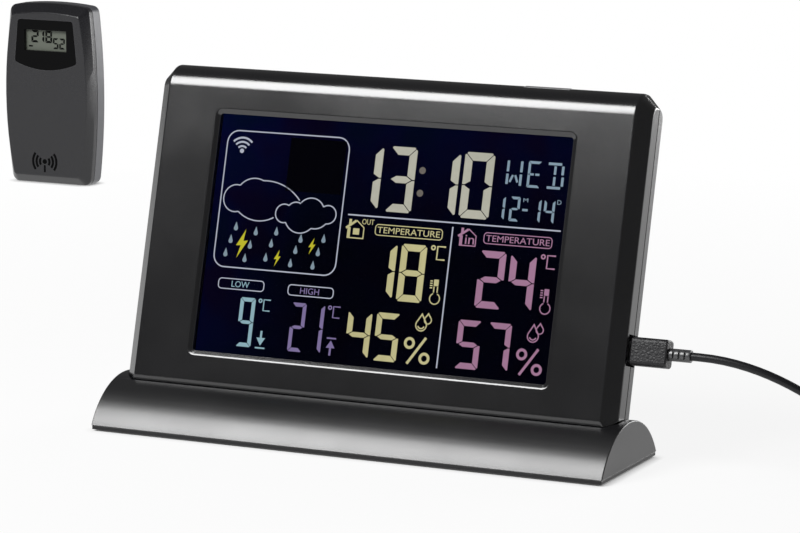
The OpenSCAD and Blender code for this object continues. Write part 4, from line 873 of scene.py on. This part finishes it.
def ground_finish():
    """The dark display: near black, with a blue glow that grows to the left and upwards, and faint red and
    green ghosts."""
    material = finish("display_glass", GLASS_TINT, rough=0.25, grain=900.0, bump=0.0, spec=0.0)
    tree = material.node_tree
    link = tree.links.new
    shader = tree.nodes["Principled BSDF"]
    place = node(tree, "TexCoord")
    split = node(tree, "SeparateXYZ")
    link(place.outputs["Object"], split.inputs[0])
    side = node(tree, "MapRange", GLOW_LEFTWARDS)
    link(split.outputs["X"], side.inputs["Value"])
    rise = node(tree, "MapRange", GLOW_UPWARDS)
    link(split.outputs["Z"], rise.inputs["Value"])
    glow = node(tree, "Math", operation="ADD")
    link(side.outputs[0], glow.inputs[0])
    link(rise.outputs[0], glow.inputs[1])
    ghosts = node(tree, "TexNoise", {"Scale": 55.0, "Detail": 1.5})
    link(place.outputs["Object"], ghosts.inputs["Vector"])
    ghost = node(tree, "ValToRGB")
    stops = ghost.color_ramp.elements
    stops.new(GHOSTS[1][0])
    for stop, (position, colour) in zip(stops, GHOSTS):
        stop.position = position
        stop.color = colour
    link(ghosts.outputs["Fac"], ghost.inputs["Fac"])
    lit = node(tree, "VectorMath", operation="SCALE")
    link(ghost.outputs["Color"], lit.inputs[0])
    link(glow.outputs[0], lit.inputs["Scale"])
    link(lit.outputs[0], shader.inputs["Emission Color"])
    shader.inputs["Emission Strength"].default_value = 1.0
    return material


BOARD_GREEN = (0.008, 0.09, 0.03)
TRACES = {"Scale": 90.0, "Mortar Size": 0.035, "Mortar": (0.03, 0.22, 0.06, 1),
          "Color1": (0.006, 0.08, 0.025, 1), "Color2": (0.01, 0.11, 0.035, 1)}


def board_finish():
    """Green board with copper traces under its mask."""
    material = finish("board", BOARD_GREEN, rough=0.4, grain=1200.0, mottle=0.3)
    tree = material.node_tree
    place = node(tree, "TexCoord")
    turn = node(tree, "Mapping", {"Rotation": (math.radians(90), 0, 0)})
    traces = node(tree, "TexBrick", TRACES)
    tree.links.new(place.outputs["Object"], turn.inputs["Vector"])
    tree.links.new(turn.outputs["Vector"], traces.inputs["Vector"])
    tree.links.new(traces.outputs["Color"], tree.nodes["Principled BSDF"].inputs["Base Color"])
    return material


def jacket_finish():
    """Soft PVC of the lead."""
    colour = tuple(look("lead").jacket)
    return finish("cable_jacket", colour, rough=0.36, grain=1300.0, bump=0.15, mottle=0.4, spec=0.35)


GRIP_CELLS = 900.0
GRIP_DEPTH = 0.55


def grip_finish():
    """The plug's overmould: a leathery skin of small cells."""
    name = "plug_overmould"
    if name in FINISHES:
        return FINISHES[name]
    colour = tuple(look("lead").jacket)
    material = finish(name, colour, rough=0.42, grain=1500.0, bump=GRIP_DEPTH, rub=0.5)
    tree = material.node_tree
    place = node(tree, "TexCoord")
    cells = node(tree, "TexVoronoi", {"Scale": GRIP_CELLS}, feature="DISTANCE_TO_EDGE")
    tree.links.new(place.outputs["Object"], cells.inputs["Vector"])
    raised = next(made for made in tree.nodes if made.bl_idname == "ShaderNodeBump")
    tree.links.new(cells.outputs["Distance"], raised.inputs["Height"])
    return material


def shell_finish(kind):
    """The satin plastics of the console's front, its back and the base's dome."""
    shell = look("shell")
    table = {
        "front_shell": (shell.front, 0, {"grain": 2300.0, "bump": 0.08, "spec": 1.0}),
        # Painted light: the back's lighter grey stands in for the light that falls on its sides
        "rear_shell": (shell.rear, 0.1, {"grain": 1900.0, "bump": 0.12, "spec": 1.0}),
        "dome_shell": (shell.dome, 0.15, {"grain": 2300.0, "bump": 0.14, "spec": 0.9}),
    }
    colour, rougher, more = table[kind]
    return finish(kind, tuple(colour), shell.sheen + rougher, rub=0.25, **more)


def sensor_finish(kind):
    """The plastics, the window and the small display of the remote sensor."""
    sensor = look("sensor")
    table = {
        "sensor_dark": (sensor.front, 0.26, {"grain": 2000.0, "bump": 0.1, "rub": 0.3, "spec": 0.65}),
        # Painted light: the rear shell's lighter grey stands in for the grazing light on the sensor's sides
        # and back
        "sensor_light": (sensor.rear, 0.3, {"grain": 1800.0, "rub": 0.3, "spec": 1.0}),
        "sensor_pane": (sensor.pane, 0.08, {"grain": 120.0, "mottle": 0.2, "bump": 0.01, "spec": 0.08}),
        "sensor_glass": (sensor.glass, 0.3, {"grain": 500.0, "mottle": 0.25, "bump": 0.02, "spec": 0.3}),
    }
    colour, rough, more = table[kind]
    return finish(kind, tuple(colour), rough, **more)


# Operators

class StationOperator(bpy.types.Operator):
    """One step of dressing the station."""
    bl_options = {"REGISTER", "UNDO"}


# The camera's aim, distance and lens. The angles are in degrees, and the lens and its film width in mm.
CAMERA_AIM = Vector((0.01202, 0, 0.06726))
CAMERA_YAW = 25.11
CAMERA_RISE = 10.06
CAMERA_ROLL = 0.24
CAMERA_DISTANCE = 1.36601
CAMERA_LENS = 168.84
FILM_WIDTH = 36
NEAREST = 0.05
FURTHEST = 60


class STATION_OT_camera(StationOperator):
    """Sets the camera at the viewing angle of the reference picture"""
    bl_idname = "station.camera"
    bl_label = "Camera"

    def execute(self, context):
        yaw = math.radians(CAMERA_YAW)
        rise = math.radians(CAMERA_RISE)
        back = Vector((math.sin(yaw) * math.cos(rise), -math.cos(yaw) * math.cos(rise), math.sin(rise)))
        roll = Quaternion((0, 0, 1), math.radians(CAMERA_ROLL))
        camera = bpy.data.objects.new("camera", bpy.data.cameras.new("camera"))
        camera.data.sensor_width = FILM_WIDTH
        camera.data.lens = CAMERA_LENS
        camera.data.clip_start = NEAREST
        camera.data.clip_end = FURTHEST
        camera.location = CAMERA_AIM + back * CAMERA_DISTANCE
        camera.rotation_mode = "QUATERNION"
        camera.rotation_quaternion = (-back).to_track_quat("-Z", "Y") @ roll
        context.scene.collection.objects.link(camera)
        context.scene.camera = camera
        return {"FINISHED"}


# The lead's route in mm: where it leaves the strain relief, how far it reaches out before it turns down and
# in, and the length of its tail. The coil has a centre, a middle radius and layers that wind in and out in
# turn. A layer turns by an angle in degrees and climbs to the next over another.
LEAD_WIDTH = 3.0
LEAD_START = (122.4, 8.76276, 42.07847)
LEAD_OUT = 45
LEAD_IN = 40
LEAD_STEPS = 28
LEAD_SIDES = 5
COIL_CENTRE = (172.0, 70.0, 2.7)
COIL_RADIUS = 16.5
COIL_APPROACH = 4.5
COIL_PITCH = 4.2
COIL_STEP = 3.6
COIL_LAYERS = 4
LAYER_TURN = 495.0
CLIMB_TURN = 180.0
TURN_STEP = 10
TAIL_LENGTH = 46
TAIL_HEIGHT = 4.0
TAIL_PULL = 16
TAIL_STEPS = 16


def bend(p, q, r, s, count):
    """Points of a smooth bend from p to s, drawn towards q and r."""
    return [(1 - t)**3 * p + 3 * t * (1 - t)**2 * q + 3 * t * t * (1 - t) * r + t**3 * s
            for t in np.linspace(0, 1, count + 1)]


def wound(angle, outer, inner):
    """The coil's point at an angle from its start."""
    cx, cy, cz = COIL_CENTRE
    cycle = LAYER_TURN + CLIMB_TURN
    layer = min(int(angle // cycle), COIL_LAYERS - 1)
    rest = angle - layer * cycle
    run = min(rest, LAYER_TURN) * COIL_PITCH / 360
    r = outer - run if layer % 2 == 0 else inner + run
    height = cz + COIL_STEP * (layer + max(rest - LAYER_TURN, 0) / CLIMB_TURN)
    turn = math.radians(angle)
    return np.array((cx + r * math.cos(turn), cy + r * math.sin(turn), height))


def lead_route():
    """The lead's centre line in metres: out of the strain relief, down to the desk, round the coil and into
    the far plug."""
    d = LEAD_WIDTH
    cx, cy, cz = COIL_CENTRE
    half_span = COIL_PITCH * LAYER_TURN / 360 / 2
    outer = COIL_RADIUS + half_span
    inner = COIL_RADIUS - half_span
    start = np.array(LEAD_START)
    entry = np.array((cx + outer, cy - d, cz))
    leave = np.array((cx + outer, cy + d, cz + (COIL_LAYERS - 1) * COIL_STEP))
    end = np.array((cx + outer, cy + TAIL_LENGTH, TAIL_HEIGHT))
    x = np.array((1.0, 0, 0))
    y = np.array((0, 1.0, 0))
    total = COIL_LAYERS * LAYER_TURN + (COIL_LAYERS - 1) * CLIMB_TURN
    run_from = start + d * x
    run_to = entry - COIL_APPROACH * y
    tail_from = leave + d * y
    tail_to = end - d * y
    run = bend(run_from, run_from + LEAD_OUT * x, run_to - LEAD_IN * y, run_to, LEAD_STEPS)
    coil = [wound(angle, outer, inner) for angle in np.arange(0, total + 1, TURN_STEP)]
    tail = bend(tail_from, tail_from + TAIL_PULL * y, tail_to - TAIL_PULL * y, tail_to, TAIL_STEPS)
    return [point * MM for point in (start, *run, entry, *coil, leave, *tail, end)]


class STATION_OT_lead(StationOperator):
    """Lays the supply lead with its plugs, its strain relief and its tied coil"""
    bl_idname = "station.lead"
    bl_label = "Supply lead"

    def execute(self, context):
        lead = look("lead")
        route = lead_route()
        curve = bpy.data.curves.new("supply_cable", "CURVE")
        curve.dimensions = "3D"
        curve.bevel_depth = lead.diameter / 2
        curve.bevel_resolution = LEAD_SIDES
        curve.use_fill_caps = True
        spline = curve.splines.new("POLY")
        spline.points.add(len(route) - 1)
        for point, place in zip(spline.points, route):
            point.co = (*place, 1)
        spline.use_smooth = True
        cable = new_object("supply_cable", curve)
        dress(cable, "lead", jacket_finish(), "cable_jacket", "lead_cable", "lead_coil", "lead_tail")
        plug = soften("plug_body", "plug_overmould", PLUG_EDGE)
        dress(plug, "lead", grip_finish(), "cable_jacket", "plug_body")
        relief = soften("strain_relief", "plug_relief", RELIEF_EDGE)
        dress(relief, "lead", plain_finish("relief_rubber"), "cable_jacket", "strain_relief")
        far = soften("far_plug_body", "far_plug_overmould", PLUG_EDGE)
        dress(far, "lead", grip_finish(), "cable_jacket", "far_plug_body")
        tie = soften("coil_tie", "coil_strap", TIE_EDGE)
        dress(tie, "lead", plain_finish("black_plastic"), "black_plastic", "coil_tie")
        paint(plain_finish("steel"), "plug_shell", "far_plug_shell")
        paint(plain_finish("white_plastic"), "far_plug_insert")
        length = sum((Vector(b) - Vector(a)).length for a, b in zip(route, route[1:]))
        tuple(route[0])
        return {"FINISHED"}


# The rim of the base's pocket: its least height in metres, the least rise of its edges' normals, and its half
# length and its reach from before to behind the leaning face in mm
POCKET_LOW = 0.009
POCKET_SLOPE = 0.2
POCKET_HALF = 101
POCKET_FRONT = -4
POCKET_REAR = 24


def on_pocket(middle, normal):
    """Whether an edge lies on the rim of the base's pocket."""
    across, _, depth = on_face(middle)
    raised = middle[2] > POCKET_LOW and normal[2] > POCKET_SLOPE
    return raised and abs(across) < POCKET_HALF and POCKET_FRONT < depth < POCKET_REAR


class STATION_OT_base(StationOperator):
    """Finishes the domed base, its plate, its mat and its screws"""
    bl_idname = "station.base"
    bl_label = "Base"

    def execute(self, context):
        width = look("shell").edge
        dome = soften("base_shell", "base_dome", width, extra=on_pocket)
        dress(dome, "stand", shell_finish("dome_shell"), "dome_shell", "base_shell")
        plate = soften("base_plate", "base_floor", width * PLATE_SHARE)
        dress(plate, "stand", plain_finish("black_plastic"), "black_plastic", "base_plate")
        paint(plain_finish("mat_rubber"), "base_mat")
        paint(plain_finish("steel"), "base_screws")
        return {"FINISHED"}


# The lip of the display's window and the line where the housings part, in mm on the leaning face
LIP_DEPTH = 0.05
LIP_HALF = 75
LIP_LOW = 28
LIP_HIGH = 124
HOUSING_PARTING = (10.2, 11.8)


def on_lip(middle, normal):
    """Whether an edge lies on the lip of the display's window."""
    across, rise, depth = on_face(middle)
    return abs(depth) < LIP_DEPTH and abs(across) < LIP_HALF and LIP_LOW < rise < LIP_HIGH


def housing_share(middle):
    """The share of the rounding that an edge of the front housing gets."""
    low, high = HOUSING_PARTING
    return PARTING_SHARE if low < on_face(middle)[2] < high else 1


class STATION_OT_console(StationOperator):
    """Finishes the two housings, the lens and the display stack"""
    bl_idname = "station.console"
    bl_label = "Console"

    def execute(self, context):
        width = look("shell").edge
        front = soften("front_housing", "front_shell", width, extra=on_lip, share=housing_share)
        dress(front, "console", shell_finish("front_shell"), "front_shell", "front_housing")
        rear = soften("rear_housing", "rear_shell", width * REAR_SHARE)
        dress(rear, "console", shell_finish("rear_shell"), "rear_shell", "rear_housing")
        paint(lens_finish(), "display_lens")
        paint(plain_finish("black_plastic"), "lens_gasket")
        paint(ground_finish(), "lcd_panel")
        paint(plain_finish("steel"), "housing_screws")
        return {"FINISHED"}


class STATION_OT_display(StationOperator):
    """Draws the lit readings and signs of the display"""
    bl_idname = "station.display"
    bl_label = "Display"

    def execute(self, context):
        colours = look("display")
        for name, tint, shift, shapes, words in lit_groups():
            parts = [drawing(loops) for loops in shapes]
            parts += [lettering(*word) for word in words]
            piece = put(join(name, parts), face_matrix(DISPLAY_DEPTH, *shift))
            dress(piece, "console", lit_finish("lit_" + name, tuple(getattr(colours, tint))), "display_glass")
        return {"FINISHED"}


class STATION_OT_controls(StationOperator):
    """Finishes the top button, the rear keys and the battery door"""
    bl_idname = "station.controls"
    bl_label = "Controls"

    def execute(self, context):
        button = soften("top_button", "light_button", BUTTON_EDGE)
        dress(button, "top_button", plain_finish("button_plastic"), "button_plastic", "top_button")
        for name in ("mode", "set", "up", "down", "channel"):
            key = soften("key_" + name, name + "_key", KEY_EDGE)
            dress(key, "key_" + name, plain_finish("key_plastic"), "key_plastic", "key_" + name)
        door = soften("battery_door", "battery_cover", DOOR_EDGE)
        dress(door, "battery_door", shell_finish("rear_shell"), "rear_shell", "battery_door")
        return {"FINISHED"}


class STATION_OT_inside(StationOperator):
    """Finishes the pieces inside the console and the sensor"""
    bl_idname = "station.inside"
    bl_label = "Inner pieces"

    def execute(self, context):
        paint(board_finish(), "main_board", "usb_board", "sensor_board")
        paint(plain_finish("white_plastic"), "lcd_frame", "climate_sensor", "reflector_sheet", "sensor_probe")
        paint(plain_finish("guide"), "light_guide", "backlight_leds")
        paint(plain_finish("elastomer"), "contact_strip", "sensor_strip")
        paint(plain_finish("steel"), "frame_screws", "board_screws", "radio_module", "usb_socket",
              "battery_contacts", "sensor_contacts")
        paint(plain_finish("black_plastic"), "controller_chip", "buzzer", "top_switch", "key_switches")
        paint(plain_finish("brass_wire"), "antenna_wire", "sensor_antenna")
        paint(plain_finish("cell_case"), "battery_cells", "sensor_cells")
        return {"FINISHED"}


# The remote sensor in mm: the depths of its parting line and its back edge, its reading and its printed sign
SENSOR_PARTING = (8.2, 9.0)
SENSOR_BACK = 18.5
SENSOR_BACK_SHARE = 0.3
READING_DEPTH = 2.06
SIGN_DEPTH = -0.02
READING = (("2", -9.6, 75.2, -5.2, 81.7, 1.15), ("1", -5.6, 75.2, -1.8, 81.7, 1.15),
           ("8", -1.1, 75.2, 3.0, 81.7, 1.15), ("5", 3.5, 72.2, 6.8, 78.0, 0.95),
           ("2", 7.3, 72.2, 10.7, 78.0, 0.95))
READING_DASH = ((-11.2, 73.2, -8.8, 73.2, 0.8),)
SIGN_CENTRE = (-1.2, 12.1)
SIGN_DOT = 1.3
SIGN_STEM = ((-1.2, 10.2, -1.2, 6.4, 1.1),)
SIGN_RADII = (2.9, 5.0, 7.1)
SIGN_LINE = 1.3
SIGN_SPREAD = 38


def sensor_share(middle):
    """The share of the rounding that an edge of the sensor's shells gets."""
    low, high = SENSOR_PARTING
    depth = (middle[1] - SENSOR.y) / MM
    if low < depth < high:
        return PARTING_SHARE
    return SENSOR_BACK_SHARE if depth > SENSOR_BACK else 1


class STATION_OT_sensor(StationOperator):
    """Finishes the remote sensor, its small display and its printed sign"""
    bl_idname = "station.sensor"
    bl_label = "Remote sensor"

    def execute(self, context):
        dark = sensor_finish("sensor_dark")
        light = sensor_finish("sensor_light")
        ink = plain_finish("dark_ink")
        front = soften("sensor_front", "sensor_front_shell", SENSOR_EDGE, share=sensor_share)
        dress(front, "sensor", dark, "sensor_dark", "sensor_front")
        rear = soften("sensor_rear", "sensor_rear_shell", SENSOR_EDGE, share=sensor_share)
        dress(rear, "sensor", light, "sensor_light", "sensor_rear")
        door = soften("sensor_door", "sensor_cover", SENSOR_DOOR_EDGE)
        dress(door, "sensor_door", light, "sensor_light", "sensor_door")
        paint(sensor_finish("sensor_pane"), "sensor_window")
        paint(sensor_finish("sensor_glass"), "sensor_lcd")
        paint(plain_finish("steel"), "sensor_screws")
        reading = put(drawing([*digits(READING), *lines(READING_DASH)]), sensor_matrix(READING_DEPTH))
        reading.name = "sensor_reading"
        dress(reading, "sensor", ink, "sensor_glass")
        sign = [circle(*SIGN_CENTRE, SIGN_DOT), *lines(SIGN_STEM)]
        sign += [fan(*SIGN_CENTRE, r, SIGN_LINE, side - SIGN_SPREAD, side + SIGN_SPREAD)
                 for r in SIGN_RADII for side in (0, 180)]
        mark = put(drawing(sign), sensor_matrix(SIGN_DEPTH))
        mark.name = "sensor_sign"
        dress(mark, "sensor", ink, "sensor_dark")
        return {"FINISHED"}


# The stage in metres: the floor's size and the ring in which it fades to white, the reach of the shade under
# the base, and each lamp's direction from the console's middle, distance and size
FLOOR_SIZE = 12
FLOOR_FADE = (0.25, 0.7)
FLOOR_SHADE = 0.004
WHITE = (1, 1, 1, 1)
LAMP_AIM = Vector((0, 0, 0.07))
KEY_LAMP = ("front_softbox", (-0.424, -0.597, 0.681), 1.5, (0.75, 0.84))
RIM_LAMP = ("rear_softbox", (0.42, 0.89, 0.12), 1.5, (0.8, 0.8))


class STATION_OT_stage(StationOperator):
    """Sets the pale floor, the soft light and the white background"""
    bl_idname = "station.stage"
    bl_label = "Stage"

    def execute(self, context):
        stage = look("stage")
        self.lay_floor(stage)
        world = context.scene.world or bpy.data.worlds.new("studio")
        context.scene.world = world
        world.use_nodes = True
        tree = world.node_tree
        soft = tree.nodes["Background"]
        soft.inputs["Color"].default_value = WHITE
        soft.inputs["Strength"].default_value = stage.fill
        white = node(tree, "Background", {"Color": WHITE, "Strength": 1.0})
        surface = tree.nodes["World Output"].inputs["Surface"]
        self.show_white(tree, soft, white, surface, stage.mirror)
        self.lamp(*KEY_LAMP, stage.key)
        self.lamp(*RIM_LAMP, stage.rim)
        context.scene.view_settings.view_transform = "Standard"
        return {"FINISHED"}

    def lay_floor(self, stage):
        """Lays a white floor that keeps the object's shadow and its dark line of contact."""
        bpy.ops.object.select_all(action="DESELECT")
        bpy.ops.mesh.primitive_plane_add(size=FLOOR_SIZE, location=(0, 0, 0))
        floor = bpy.context.object
        floor.name = "studio_floor"
        bpy.ops.object.mode_set(mode="EDIT")
        bpy.ops.mesh.subdivide(number_cuts=3)
        bpy.ops.object.mode_set(mode="OBJECT")
        material, tree, shader = new_material("studio_floor")
        tree.nodes.remove(shader)
        matt = node(tree, "BsdfDiffuse", {"Color": (*stage.floor, 1)})
        white = node(tree, "Emission", {"Color": WHITE, "Strength": 1.0})
        place = node(tree, "TexCoord")
        away = node(tree, "VectorMath", operation="LENGTH")
        tree.links.new(place.outputs["Object"], away.inputs[0])
        fade = node(tree, "MapRange", span(*FLOOR_FADE, stage.shadow, 1.0))
        tree.links.new(away.outputs["Value"], fade.inputs["Value"])
        touch = node(tree, "AmbientOcclusion", {"Distance": FLOOR_SHADE}, samples=8)
        bare = node(tree, "Math", operation="MULTIPLY")
        tree.links.new(fade.outputs[0], bare.inputs[0])
        tree.links.new(touch.outputs["AO"], bare.inputs[1])
        surface = tree.nodes["Material Output"].inputs["Surface"]
        self.show_white(tree, matt, white, surface, stage.polish, bare.outputs[0])
        floor.data.materials.append(material)

    def show_white(self, tree, plain, white, surface, mirrored, seen=None):
        """Shows the white, or the share of it that seen gives, to the camera and through glass, and a share
        of it in mirrors."""
        link = tree.links.new
        path = node(tree, "LightPath")
        direct = node(tree, "Math", operation="MAXIMUM")
        link(path.outputs["Is Camera Ray"], direct.inputs[0])
        link(path.outputs["Is Transmission Ray"], direct.inputs[1])
        share = node(tree, "Math", {1: 1.0}, operation="MULTIPLY")
        link(direct.outputs[0], share.inputs[0])
        if seen is not None:
            link(seen, share.inputs[1])
        factor = node(tree, "Math", {1: mirrored}, operation="MULTIPLY_ADD")
        link(path.outputs["Is Glossy Ray"], factor.inputs[0])
        link(share.outputs[0], factor.inputs[2])
        mixed = node(tree, "MixShader")
        link(factor.outputs[0], mixed.inputs[0])
        link(plain.outputs[0], mixed.inputs[1])
        link(white.outputs[0], mixed.inputs[2])
        link(mixed.outputs[0], surface)

    def lamp(self, name, way, distance, size, power):
        """A soft rectangular lamp that faces the console."""
        light = bpy.data.lights.new(name, "AREA")
        light.shape = "RECTANGLE"
        light.size, light.size_y = size
        light.energy = power
        lamp = bpy.data.objects.new(name, light)
        bpy.context.scene.collection.objects.link(lamp)
        direction = Vector(way).normalized()
        lamp.location = LAMP_AIM + direction * distance
        lamp.rotation_mode = "QUATERNION"
        lamp.rotation_quaternion = (-direction).to_track_quat("-Z", "Y")


class STATION_PT_panel(bpy.types.Panel):
    """Lists the steps and the looks that they use"""
    bl_idname = "STATION_PT_panel"
    bl_label = "Weather station"
    bl_space_type = "VIEW_3D"
    bl_region_type = "UI"
    bl_category = "Station"

    def draw(self, context):
        for step in STEPS:
            self.layout.operator(step.bl_idname)
        for name, kind in LOOKS.items():
            box = self.layout.box()
            box.label(text=kind.__doc__)
            for key in kind.__annotations__:
                box.prop(look(name), key)


STEPS = (STATION_OT_camera, STATION_OT_lead, STATION_OT_base, STATION_OT_console, STATION_OT_display,
         STATION_OT_controls, STATION_OT_inside, STATION_OT_sensor, STATION_OT_stage)
LOOKS = {"shell": ShellLook, "display": DisplayLook, "lead": LeadLook, "sensor": SensorLook,
         "stage": StageLook}


def register():
    for kind in (*LOOKS.values(), *STEPS, STATION_PT_panel):
        bpy.utils.register_class(kind)
    for name, kind in LOOKS.items():
        setattr(bpy.types.Scene, "station_" + name, PointerProperty(type=kind))


def unregister():
    for name in LOOKS:
        delattr(bpy.types.Scene, "station_" + name)
    for kind in (STATION_PT_panel, *reversed(STEPS), *LOOKS.values()):
        bpy.utils.unregister_class(kind)


def main():
    register()
    for step in STEPS:
        group_name, step_name = step.bl_idname.split(".")
        getattr(getattr(bpy.ops, group_name), step_name)()


if __name__ == "__main__":
    main()
